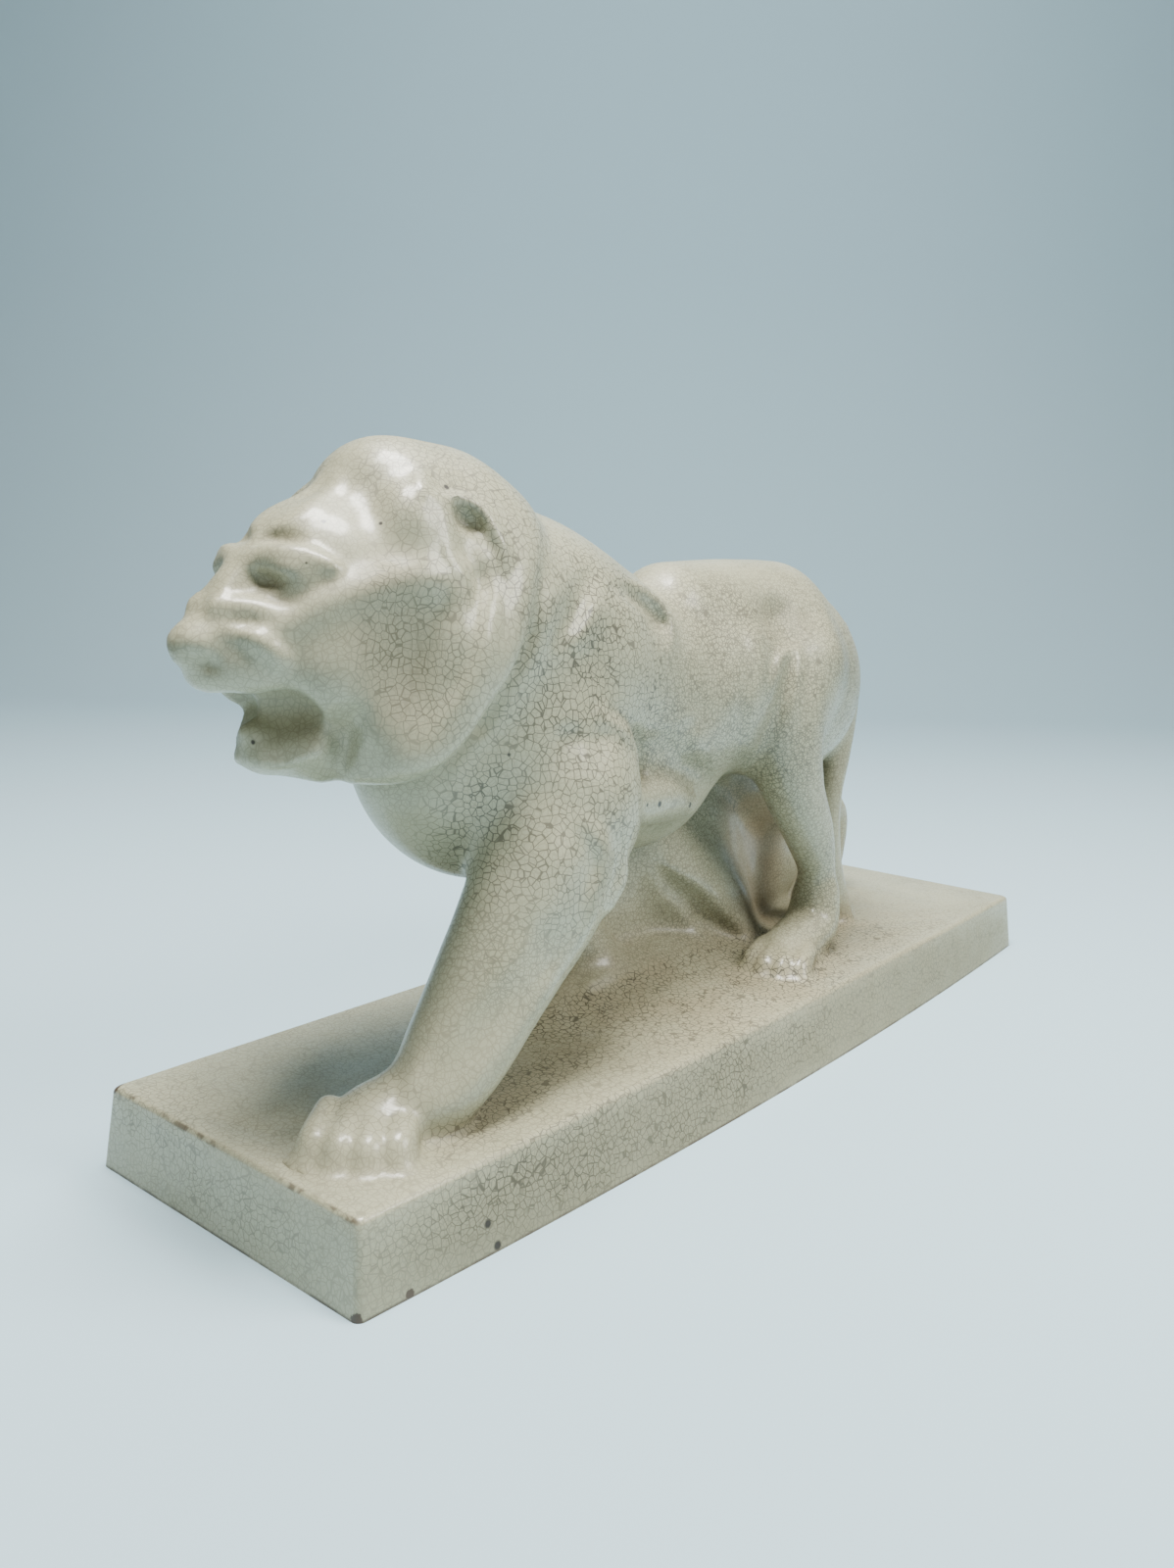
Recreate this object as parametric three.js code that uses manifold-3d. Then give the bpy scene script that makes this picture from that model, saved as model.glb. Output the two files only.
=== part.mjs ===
import * as THREE from 'three';
import * as BufferGeometryUtils from 'three/addons/utils/BufferGeometryUtils.js';
import Module from 'manifold-3d';

// A walking lion on an oblong slab, slip-cast and glazed as one ceramic body.
// Millimetres. The lion faces -X, its left side is -Y, up is +Z, and z = 0 is the slab's underside.

// Driving dimensions
const slab = {
  length: 480,
  width: 136.6,
  height: 29.2,
  draft: 2.9,
  edge: 2,
  corner: 2.6,
  bow: 3,
  bowSpread: 4.3,
};
const slabCorners = { steps: 3, edgeSteps: 3, sideSteps: 14 };
const ground = slab.height;

// The net that the lion's surface is drawn on: its cell sizes, its limits and the heights where they change
const cell = { face: 4.4, head: 6.2, body: 11.6, tail: 7, low: 6.4, middle: 9, high: 5.8, across: 7.3 };
const netFrom = [-258, -64, 12];
const netTo = [216, 58, 256];
const faceEnd = -196;
const headEnd = -150;
const tailSpan = [98, 146];
const pawTop = 60;
const bellyHeight = 136;
const settleStep = 0.4;
const flatSlope = 0.05;
const cellMargin = 0.06;
const takenDepth = 0.05;

// The lion's foot melts into the slab's top from a level a little below it, clear of the slab's edges
const foot = { sunk: 1.2, melt: 7, margin: 9 };

// Forms. Every form is a distance function with the box it reaches and the width of its melt.
const radian = Math.PI / 180;
const clamp01 = (t) => Math.min(1, Math.max(0, t));

// Points with their sizes, as rows of equal length, drawn out into a smooth curve through all of them
function smoothed(rows, steps = 4) {
  const curve = [];
  const last = rows.length - 1;
  for (let i = 0; i < last; i++) {
    const [a, b, c, d] = [rows[Math.max(0, i - 1)], rows[i], rows[i + 1], rows[Math.min(last, i + 2)]];
    for (let k = 0; k < steps; k++) {
      const t = k / steps;
      curve.push(b.map((_, n) => {
        const bend = 2 * a[n] - 5 * b[n] + 4 * c[n] - d[n];
        const twist = 3 * b[n] - a[n] - 3 * c[n] + d[n];
        return 0.5 * (2 * b[n] + (c[n] - a[n]) * t + bend * t * t + twist * t ** 3);
      }));
    }
  }
  curve.push(rows[last]);
  return rows.length > 2 ? curve : rows;
}

// Coordinates of a point measured from a form's centre, along its own turned axes
function turned(at, lean, yaw) {
  const cl = Math.cos(lean * radian);
  const sl = Math.sin(lean * radian);
  const cy = Math.cos(yaw * radian);
  const sy = Math.sin(yaw * radian);
  return (x, y, z) => {
    const dx = x - at[0];
    const dy = y - at[1];
    const dz = z - at[2];
    const ux = cy * dx + sy * dy;
    const uy = -sy * dx + cy * dy;
    return [cl * ux + sl * dz, uy, -sl * ux + cl * dz];
  };
}

// An ellipsoid. Lean lifts its +X end, yaw swings its +X end to the right side.
function mass(at, half, melt, lean = 0, yaw = 0) {
  const local = turned(at, lean, yaw);
  const reach = Math.max(...half);
  return {
    melt,
    low: at.map((v, i) => v - (lean || yaw ? reach : half[i])),
    high: at.map((v, i) => v + (lean || yaw ? reach : half[i])),
    dist(x, y, z) {
      const [u, v, w] = local(x, y, z);
      const k0 = Math.hypot(u / half[0], v / half[1], w / half[2]);
      const k1 = Math.hypot(u / half[0] ** 2, v / half[1] ** 2, w / half[2] ** 2);
      return k1 < 1e-9 ? -Math.min(...half) : k0 * (k0 - 1) / k1;
    },
  };
}

// A bar through points, its radius given at each of them. Flat above 1 makes it thinner across.
function limb(points, radii, melt, flat = 1) {
  const reach = Math.max(...radii);
  const rows = smoothed(points.map((p, i) => [...p, radii[i]]));
  return {
    melt,
    low: [0, 1, 2].map((i) => Math.min(...points.map((p) => p[i])) - reach),
    high: [0, 1, 2].map((i) => Math.max(...points.map((p) => p[i])) + reach),
    dist(x, y, z) {
      let best = 1e3;
      for (let i = 0; i + 1 < rows.length; i++) {
        const a = rows[i];
        const b = rows[i + 1];
        const along = [b[0] - a[0], b[1] - a[1], b[2] - a[2]];
        const span = along[0] ** 2 + along[1] ** 2 + along[2] ** 2;
        const dot = (x - a[0]) * along[0] + (y - a[1]) * along[1] + (z - a[2]) * along[2];
        const t = clamp01(dot / span);
        const across = (y - a[1] - t * along[1]) * flat;
        const gap = Math.hypot(x - a[0] - t * along[0], across, z - a[2] - t * along[2]);
        best = Math.min(best, gap - a[3] - t * (b[3] - a[3]));
      }
      return best;
    },
  };
}

// Modelling lines are seen from the front left and a little above, and reach deeper along this direction
const looking = [0.76, 0.627, -0.17];
const depthShare = 0.35;

function flattened(x, y, z) {
  const away = (1 - depthShare) * (x * looking[0] + y * looking[1] + z * looking[2]);
  return [x - away * looking[0], y - away * looking[1], z - away * looking[2]];
}

// A soft line drawn on the surface through points: it raises the clay by its heights within its widths,
// or presses it in where a height is below zero.
function line(points, widths, heights) {
  const reach = Math.max(...widths) * 2.3;
  const rows = smoothed(points.map((p, i) => [...flattened(...p), widths[i], heights[i]]));
  return {
    melt: 0,
    low: [0, 1, 2].map((i) => Math.min(...points.map((p) => p[i])) - reach),
    high: [0, 1, 2].map((i) => Math.max(...points.map((p) => p[i])) + reach),
    lift(x, y, z) {
      const [u, v, w] = flattened(x, y, z);
      let best = 1;
      let height = 0;
      for (let i = 0; i + 1 < rows.length; i++) {
        const a = rows[i];
        const b = rows[i + 1];
        const along = [b[0] - a[0], b[1] - a[1], b[2] - a[2]];
        const span = along[0] ** 2 + along[1] ** 2 + along[2] ** 2;
        const t = clamp01(((u - a[0]) * along[0] + (v - a[1]) * along[1] + (w - a[2]) * along[2]) / span);
        const gap = Math.hypot(u - a[0] - t * along[0], v - a[1] - t * along[1], w - a[2] - t * along[2]);
        const share = gap / (a[3] + t * (b[3] - a[3]));
        if (share < best) {
          best = share;
          height = a[4] + t * (b[4] - a[4]);
        }
      }
      return height * (1 - best * best) ** 2;
    },
  };
}

// The same form on both sides of the lion, given for its left side
function paired(form) {
  const far = Math.max(Math.abs(form.low[1]), Math.abs(form.high[1]));
  return {
    melt: form.melt,
    low: [form.low[0], -far, form.low[2]],
    high: [form.high[0], far, form.high[2]],
    dist: form.dist && ((x, y, z) => form.dist(x, -Math.abs(y), z)),
    lift: form.lift && ((x, y, z) => form.lift(x, -Math.abs(y), z)),
  };
}

const carved = (form) => ({ ...form, carve: true });

// A paw: a low pad and short blunt toes side by side, in shares of the paw's length, width and height.
// It points ahead, turned to the lion's left by an angle in degrees.
const pad = { behind: 0.03, long: 0.42, wide: 0.4, high: 1.25 };
const toe = { count: 4, reach: 0.4, inset: 0.06, spread: 0.35, bend: 0.07, melt: 2.5 };
const toeHeights = [0.75, 0.45, 0.14];
const toeRadii = [0.13, 0.16, 0.145];
function paw(centre, length, width, height, melt, turn = 0) {
  const [x, y] = centre;
  const [c, s] = [Math.cos(turn * radian), Math.sin(turn * radian)];
  const placed = (ahead, aside, z) => [x - c * ahead - s * aside, y - s * ahead + c * aside, z];
  const padSize = [pad.long * length, pad.wide * width, pad.high * height];
  const forms = [mass(placed(-pad.behind * length, 0, ground), padSize, melt, 0, turn)];
  const [root, knuckle, end] = toeHeights.map((share) => ground + share * height);
  for (let i = 0; i < toe.count; i++) {
    const side = 2 * i / (toe.count - 1) - 1;
    const reach = length * (toe.reach - toe.inset * side * side);
    const aside = side * toe.spread * width;
    const line = [placed(0, aside, root), placed(reach - toe.bend * length, aside, knuckle),
      placed(reach, aside, end)];
    forms.push(limb(line, toeRadii.map((share) => share * width), toe.melt));
  }
  return forms;
}

const trunk = [
  mass([-116, 0, 150], [64, 38, 56], 8),
  limb([[-146, 0, 196], [-108, 0, 189], [-72, 0, 177]], [38, 38.5, 36], 16),
  limb([[-146, 0, 186], [-90, 0, 165]], [40, 38], 10),
  mass([-45, 0, 154], [70, 35, 47], 12),
  mass([10, 0, 160], [66, 35, 44], 12),
  limb([[-14, 0, 189], [30, 0, 190], [66, 0, 188]], [22.5, 23.5, 24.5], 6),
  mass([71, 0, 157], [67, 36, 49.5], 12, -10),
  mass([-30, 5, 118], [48, 26, 28], 12),
  paired(mass([-92, -24, 172], [24, 17, 34], 6, 12)),
  paired(mass([-116, -24, 140], [32, 22, 38], 10, 20)),
  limb([[-74, -26, 120], [-52, -24, 119], [-28, -21, 113]], [11, 11, 7.5], 4),
];

const trunkLines = [
  line([[-108, -34, 204], [-115, -36, 199], [-121, -38, 193], [-128, -40, 186]],
    [6, 8, 8, 6], [-1, -2.6, -2.6, -0.8]),
  line([[-103, -37, 200], [-110, -38, 194], [-119, -41, 186]], [8, 10, 8], [0.8, 1.8, 0.8]),
  line([[-113, -36, 206], [-121, -39, 200], [-128, -40, 192]], [5, 6, 5], [0.5, 1.5, 0.5]),
  line([[-93, -35, 201], [-76, -31, 198], [-66, -31, 194], [-62, -32, 189], [-61, -33, 183]],
    [5, 7, 8, 8, 6], [-0.8, -2.6, -3.6, -3.6, -1.2]),
  line([[-78, -29, 203], [-67, -28, 200], [-57, -30, 195], [-53, -32, 189], [-54, -34, 182]],
    [5, 6, 6, 5, 4], [0.6, 2, 2.4, 2, 0.5]),
  line([[-126, -44, 150], [-128, -45, 143]], [8, 8], [-2, -1.5]),
  line([[-114, -47, 149], [-116, -49, 142]], [7, 7], [-2, -1.5]),
  line([[-110, -46, 158], [-98, -44, 153], [-87, -39, 146], [-82, -38, 138], [-84, -41, 128]],
    [6, 6, 6, 6, 6], [1, 2, 2.5, 2.5, 1.5]),
  line([[-101, -41, 158], [-89, -37, 152], [-76, -33, 144], [-72, -31, 136], [-76, -34, 127]],
    [4, 5, 6, 6, 5], [-1, -2.5, -3, -3, -1.5]),
  line([[-66, -33, 141], [-49, -30, 138], [-32, -27, 130], [-16, -24, 121]],
    [9, 11, 11, 9], [-2, -3, -3, -1.5]),
  line([[-41, -32, 146], [-40, -32, 141]], [5, 5], [-1.2, -1.2]),
  line([[-36, -31, 138], [-28, -30, 135]], [9, 9], [1.8, 1.2]),
  line([[-28, -34, 188], [-26, -35, 172], [-32, -35, 156]], [16, 16, 14], [-1, -1.8, -1.5]),
  line([[8, -33, 180], [8, -35, 163], [6, -34, 149], [12, -29, 134]], [9, 9, 9, 7], [1.5, 2, 2.2, 1.5]),
  line([[34, -26, 188], [38, -30, 181]], [14, 12], [-2.5, -2]),
  line([[55, -33, 187], [57, -36, 180]], [11, 10], [-2, -1.5]),
  line([[37, -35, 176], [28, -34, 173], [21, -36, 165], [20, -34, 154], [18, -32, 143]],
    [3.5, 5, 6, 6, 6], [0.8, 2.2, 2.4, 2, 0.8]),
  line([[38, -36, 176], [35, -37, 166], [34, -37, 157], [32, -37, 150], [30, -35, 140], [28, -31, 130]],
    [4, 5, 6, 8, 9, 9], [1.2, 3, 3, 2.6, 2, 1]),
  line([[31, -36, 171], [29, -34, 160], [26, -33, 147], [25, -31, 135], [26, -27, 124]],
    [5, 7, 8, 8, 8], [-0.6, -2, -3, -3, -2]),
  paired(line([[-140, -38, 219], [-145, -43, 202], [-148, -44, 188], [-151, -40, 173], [-159, -34, 158]],
    [6, 7, 7, 7, 6], [-1.8, -3, -3, -2.5, -1.5])),
  paired(line([[-136, -38, 206], [-139, -42, 192], [-143, -40, 178], [-153, -37, 163], [-165, -28, 142]],
    [5, 5, 5, 5, 5], [0.4, 1.8, 1.8, 1.5, 0.6])),
  line([[-128, -38, 212], [-132, -41, 200], [-136, -41, 192]], [8, 9, 8], [1, 1.5, 1]),
];

const head = [
  mass([-160, 0, 189], [18, 45, 58], 8, -40),
  mass([-173, 0, 178], [25, 45, 43], 8, -40),
  paired(limb([[-128, -5, 228], [-142, -30, 213], [-153, -41, 190], [-166, -43, 172], [-182, -40, 157],
    [-193, -32, 148], [-200, -16, 146]], [4, 4, 4, 4, 4, 4, 4], 7)),
  mass([-172, 0, 223], [22, 26, 25], 6),
  mass([-152, 0, 214.5], [32, 36, 33], 10),
  mass([-191, 0, 208], [27.5, 24, 19], 9),
  mass([-190, 0, 188], [33, 36, 36], 12),
  mass([-218, 0, 183], [22, 17, 14], 8),
  limb([[-241, 0, 183.5], [-236, 0, 188.4], [-231.8, 0, 193.4], [-225.7, 0, 201.1], [-216, 0, 208]],
    [6.5, 6.5, 6.5, 6.5, 7], 5, 0.9),
  mass([-240, 0, 184.5], [7, 8.5, 6], 4),
  mass([-235, 0, 176], [8, 9, 6], 3),
  paired(mass([-227, -12, 179], [14, 7, 9.5], 4, 0, -33)),
  paired(mass([-212, -11, 199], [12.5, 10, 6], 5, 0, -40)),
  paired(mass([-224, -7, 189], [13, 8, 8], 5)),
  paired(limb([[-236, -5, 195], [-231.5, -9, 194.7], [-227.5, -13, 194.2], [-224, -16, 193]],
    [1.8, 2.5, 2.4, 1.2], 4.5)),
  paired(limb([[-226, -16.5, 187], [-215, -24, 194.5], [-204, -30, 199.5], [-190, -33.5, 202.5],
    [-176, -34.5, 203.5]], [2.5, 3, 3.5, 4.2, 4.5], 9)),
  paired(mass([-203, -22, 176], [17, 12, 17], 9)),
  mass([-203, 0, 163], [18, 15, 14], 6),
  mass([-206, 0, 151.5], [19, 15, 9], 5),
  mass([-219, 0, 150], [6, 9, 6], 3),
  mass([-219, 0, 158], [7.5, 8, 4.5], 4),
  paired(mass([-203, -11, 157], [15, 12, 15], 6)),
  paired(mass([-184, -22, 163], [18, 22, 21], 10)),
  carved(paired(mass([-219, -12, 164.3], [9.4, 7.4, 5], 9, 0, -48))),
  paired(limb([[-222.5, -5, 207.6], [-220.5, -10, 209.2], [-217, -16.5, 209.6], [-211.5, -25, 207.4]],
    [3, 4.2, 4, 1.4], 5)),
  paired(mass([-179, -24, 214], [14, 11, 18], 8)),
  carved(paired(mass([-194, -51.5, 185], [17, 17, 27], 10))),
];

const faceLines = [
  paired(line([[-222, -4, 214], [-219, -9, 215.3], [-215, -15, 214]], [3.5, 3.5, 3.5], [-0.6, -1.6, -0.6])),
  paired(line([[-216, -6, 219], [-211, -10, 223], [-205, -10, 228], [-193, -4, 233]],
    [6, 6, 6, 6], [1, 1, 1, 1])),
  paired(line([[-226, -6, 204.5], [-223, -9.5, 202.6], [-220, -15, 202.8], [-215.5, -22, 205]],
    [3.2, 4.6, 4.2, 2.8], [-0.4, -1.5, -1, -0.2])),
  paired(line([[-226, -8, 199.6], [-221, -12, 198.8], [-217, -18, 201.5], [-213.5, -24, 205]],
    [2.6, 3.2, 3, 2.4], [0.1, 0.7, 0.7, 0.2])),
  paired(line([[-242, -5.5, 190], [-238, -5.5, 195], [-233, -5, 201], [-227, -5, 206]],
    [2.2, 2.5, 2.5, 2.2], [0.2, 0.7, 0.7, 0.3])),
  paired(line([[-237, -9.5, 191.6], [-232.5, -12.5, 191.3], [-227, -16, 190.6]], [3, 3.6, 3.4],
    [-0.3, -0.9, -0.4])),
  paired(line([[-240, -10, 189], [-236.5, -14, 188], [-232.5, -18.5, 186], [-228, -21, 182.5]],
    [3.8, 4.4, 4.6, 4.4], [0.5, 1.5, 1.7, 0.6])),
  paired(line([[-245, -4.5, 181.5], [-242.5, -6.5, 180], [-239, -8, 178]], [3, 3, 3], [-1, -1.6, -1])),
  paired(line([[-224, -3, 149], [-221, -11, 148], [-215, -19, 152], [-210, -20, 155]],
    [2.5, 3, 3, 2.5], [0.8, 1.2, 1, 0.3])),
  paired(line([[-226, -2, 144], [-220, -11, 144], [-212, -17, 147]], [4, 4, 4], [-1.2, -1.4, -0.8])),
  paired(line([[-203, -24, 163], [-205, -21, 154], [-206, -18, 144]], [8, 7, 6], [-2.5, -3.5, -2])),
  paired(line([[-175, -23, 237], [-177, -27, 229], [-171, -28, 225], [-171, -31, 218], [-173, -34, 211],
    [-170, -36, 206], [-170, -38, 202], [-175, -41, 194], [-180, -43, 185], [-185, -44, 176],
    [-191, -44, 166], [-198, -37, 155]], [3.5, 3.5, 3.5, 3.5, 3.5, 4, 4, 7, 9, 11, 12, 12],
    [0.8, 2.2, 2.5, 2.2, 2, 2, 1.5, 1.5, 1.8, 1.8, 1.4, 0.5])),
  carved(paired(mass([-165, -34.5, 222.3], [5.6, 4.6, 3.4], 3, -22, 0))),
  paired(line([[-172, -29, 227], [-166, -31, 229], [-160, -34, 226], [-157, -38, 219], [-156, -41, 213],
    [-158, -43, 206]], [3, 3, 3, 4, 4, 3], [0.5, 2.2, 2.8, 2.8, 2, 0.4])),
  paired(line([[-166, -34, 214], [-162, -37, 210], [-162, -39, 206]], [6, 8, 6], [0.5, 1.5, 0.5])),
  paired(line([[-160, -40, 205], [-164, -43, 198], [-168, -46, 190], [-171, -47, 179], [-179, -47, 169],
    [-191, -45, 159]], [4, 5, 5, 6, 6, 6], [0.4, 1.4, 1.6, 1.6, 1.3, 0.3])),
  paired(line([[-190, -21, 222], [-188, -28, 214]], [11, 11], [-1, -1])),
];

const nearForeleg = [
  limb([[-110, -31, 122], [-131, -33, 94], [-152, -34, 71], [-168, -34, 54]], [31, 28.5, 23, 17], 10, 1.4),
  limb([[-152, -34, 70], [-168, -35, 52], [-182, -35, 41], [-198, -31, 34]], [15, 15.5, 13.5, 10], 10, 0.85),
  line([[-143, -46, 122], [-139, -49, 112], [-141, -50, 100]], [15, 16, 14], [1.5, 2.2, 1.5]),
  line([[-129, -51, 126], [-121, -52, 118], [-117, -54, 111], [-118, -54, 104], [-124, -54, 96],
    [-126, -53, 86]], [4, 5, 5.5, 5.5, 5, 4], [0.3, 1.8, 2.6, 2.6, 1.8, 0.3]),
  line([[-128, -52, 118], [-125, -54, 109], [-129, -54, 99]], [6, 7, 6], [-0.8, -1.6, -0.8]),
  line([[-111, -53, 118], [-109, -52, 109], [-114, -52, 98]], [5, 6, 5], [-1, -2.4, -1]),
  limb([[-106, -47, 108], [-103, -48, 100], [-109, -48, 91]], [3, 3.5, 2.5], 5),
  ...paw([-202, -28], 50, 36, 11, 8, 36),
  line([[-108, -52, 98], [-123, -51, 84], [-137, -49, 71], [-150, -47, 59], [-163, -45, 44], [-173, -43, 34]],
    [6, 6, 6, 6, 6, 6], [0.8, 1.4, 1.6, 1.6, 1.6, 1.2]),
  line([[-134, -54, 93], [-151, -53, 79], [-166, -51, 68], [-179, -49, 56], [-182, -46, 46]],
    [8, 10, 10, 9, 8], [-0.6, -1.5, -1.8, -1.6, -0.8]),
  line([[-189, -38, 54], [-190, -37, 48], [-191, -36, 42]], [5, 5, 5], [0.8, 1.5, 1]),
];

const farForeleg = [
  limb([[-80, 24, 120], [-70, 26, 90], [-56, 22, 62], [-42, 14, 42]], [24, 18, 13, 11], 10),
  ...paw([-47, 12], 46, 32, 8, 8),
];

const nearHindleg = [
  limb([[60, -20, 165], [46, -25, 140], [50, -29, 112], [64, -31, 88], [74, -31, 68], [75, -31, 46]],
    [24, 20, 15.5, 12.5, 9.5, 9], 12, 1.1),
  limb([[75, -31, 54], [70, -32, 42], [56, -33, 37], [42, -33, 34]], [9, 11, 11, 9], 8, 0.85),
  ...paw([42, -35], 48, 31, 10, 7, 13),
];

const farHindleg = [
  mass([74, 20, 140], [46, 18, 40], 12),
  mass([52, 28, 78], [75, 19, 39], 2.5, -36),
  mass([42, 20, 52], [60, 24, 24], 14, -38),
  line([[2, 7, 77], [12, 6, 71], [27, 5, 64], [39, 2, 53], [47, -3, 44], [52, -8, 36]], [4, 6, 7, 7, 7, 6],
    [0.5, 2, 3, 3, 3, 1.5]),
  line([[-4, 6, 74], [6, 4, 65], [15, 2, 58], [26, -2, 46], [37, -8, 35]], [5, 7, 8, 8, 7],
    [-0.5, -2.5, -3, -2.8, -1.5]),
  carved(limb([[64, -4, 116], [84, -2, 84], [106, 0, 48]], [12, 16, 14], 12)),
  limb([[80, 24, 108], [132, 22, 88], [180, 20, 74], [180, 20, 42]], [20, 15, 9, 8], 12),
  ...paw([164, 20], 46, 32, 9, 8),
];

const web = [
  mass([44, 29, 66], [132, 17, 60], 0),
  mass([-10, 8, -6], [130, 56, 48], 10),
  carved(limb([[-130, -28, 72], [0, -32, 72], [90, -38, 72]], [43, 43, 43], 10)),
];

const tail = [
  limb([[128, -2, 178], [136, -5, 158], [133, -8, 138], [124, -11, 118], [115, -13, 98], [112, -14, 80],
    [116, -13, 58], [124, -12, 34]], [9, 8.5, 8, 7.5, 7, 7.5, 9, 12], 8),
];

const lion = [
  ...web, ...trunk, ...trunkLines, ...head, ...faceLines,
  ...nearForeleg, ...farForeleg, ...nearHindleg, ...farHindleg, ...tail,
];

// Melting a form into what is there, or carving it out of it, with a rounded seam
function blend(have, form, distance) {
  const value = form.carve ? -distance : distance;
  if (form.melt <= 0) return Math.min(have, value);
  if (form.carve) {
    const h = Math.max(form.melt - Math.abs(have - value), 0) / form.melt;
    return Math.max(have, value) + h * h * form.melt / 4;
  }
  const h = Math.max(form.melt - Math.abs(have - value), 0) / form.melt;
  return Math.min(have, value) - h * h * form.melt / 4;
}

const groundForm = {
  melt: foot.melt,
  dist: (x, y, z) => Math.max(z - ground + foot.sunk,
    Math.abs(x) - slab.length / 2 + foot.margin, Math.abs(y) - slab.width / 2 + foot.margin),
};

// Distance to the lion and its ground, below zero inside the clay
const farAway = 60;
const formMargin = 10;
function field(x, y, z) {
  let value = farAway;
  for (const form of lion) {
    const m = form.melt + formMargin;
    if (x < form.low[0] - m || x > form.high[0] + m) continue;
    if (y < form.low[1] - m || y > form.high[1] + m) continue;
    if (z < form.low[2] - m || z > form.high[2] + m) continue;
    if (form.lift) value -= form.lift(x, y, z);
    else value = blend(value, form, form.dist(x, y, z));
  }
  value = blend(value, groundForm, groundForm.dist(x, y, z));
  return value;
}

// Grid lines from a to b whose spacing follows the size wanted at each place
function gridLines(a, b, size) {
  const lines = [a];
  while (lines[lines.length - 1] < b) lines.push(lines[lines.length - 1] + size(lines[lines.length - 1]));
  return lines;
}

// Four corners of a grid face, or eight of a cell, never lie inside and outside crosswise: the surface
// would touch itself there. The outer corner nearest to the clay is then taken into it.
function untangle(values, nx, ny, nz) {
  const steps = [ny * nz, nz, 1];
  const pairs = [[0, 1], [1, 2], [0, 2]];
  const takeIn = (corners) => {
    const outer = corners.filter((c) => values[c] >= 0);
    const nearest = outer.reduce((p, q) => (values[q] < values[p] ? q : p));
    values[nearest] = -takenDepth;
  };
  for (let changed = true; changed;) {
    changed = false;
    for (let i = 1; i + 1 < nx; i++) {
      for (let j = 1; j + 1 < ny; j++) {
        for (let k = 1; k + 1 < nz; k++) {
          const c = (i * ny + j) * nz + k;
          for (const [p, q] of pairs) {
            const ring = [c, c + steps[p], c + steps[p] + steps[q], c + steps[q]];
            const signs = ring.map((n) => values[n] < 0);
            if (signs[0] !== signs[2] || signs[1] !== signs[3] || signs[0] === signs[1]) continue;
            takeIn(ring);
            changed = true;
          }
          const cube = [];
          for (let n = 0; n < 8; n++) {
            cube.push(c + (n & 1) * steps[0] + (n >> 1 & 1) * steps[1] + (n >> 2) * steps[2]);
          }
          const inner = cube.map((n, at) => (values[n] < 0 ? at : -1)).filter((at) => at >= 0);
          const outer = cube.map((n, at) => (values[n] < 0 ? -1 : at)).filter((at) => at >= 0);
          const crossed = [inner, outer].some((two) => two.length === 2 && two[0] + two[1] === 7);
          if (!crossed) continue;
          takeIn(cube);
          changed = true;
        }
      }
    }
  }
}

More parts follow.
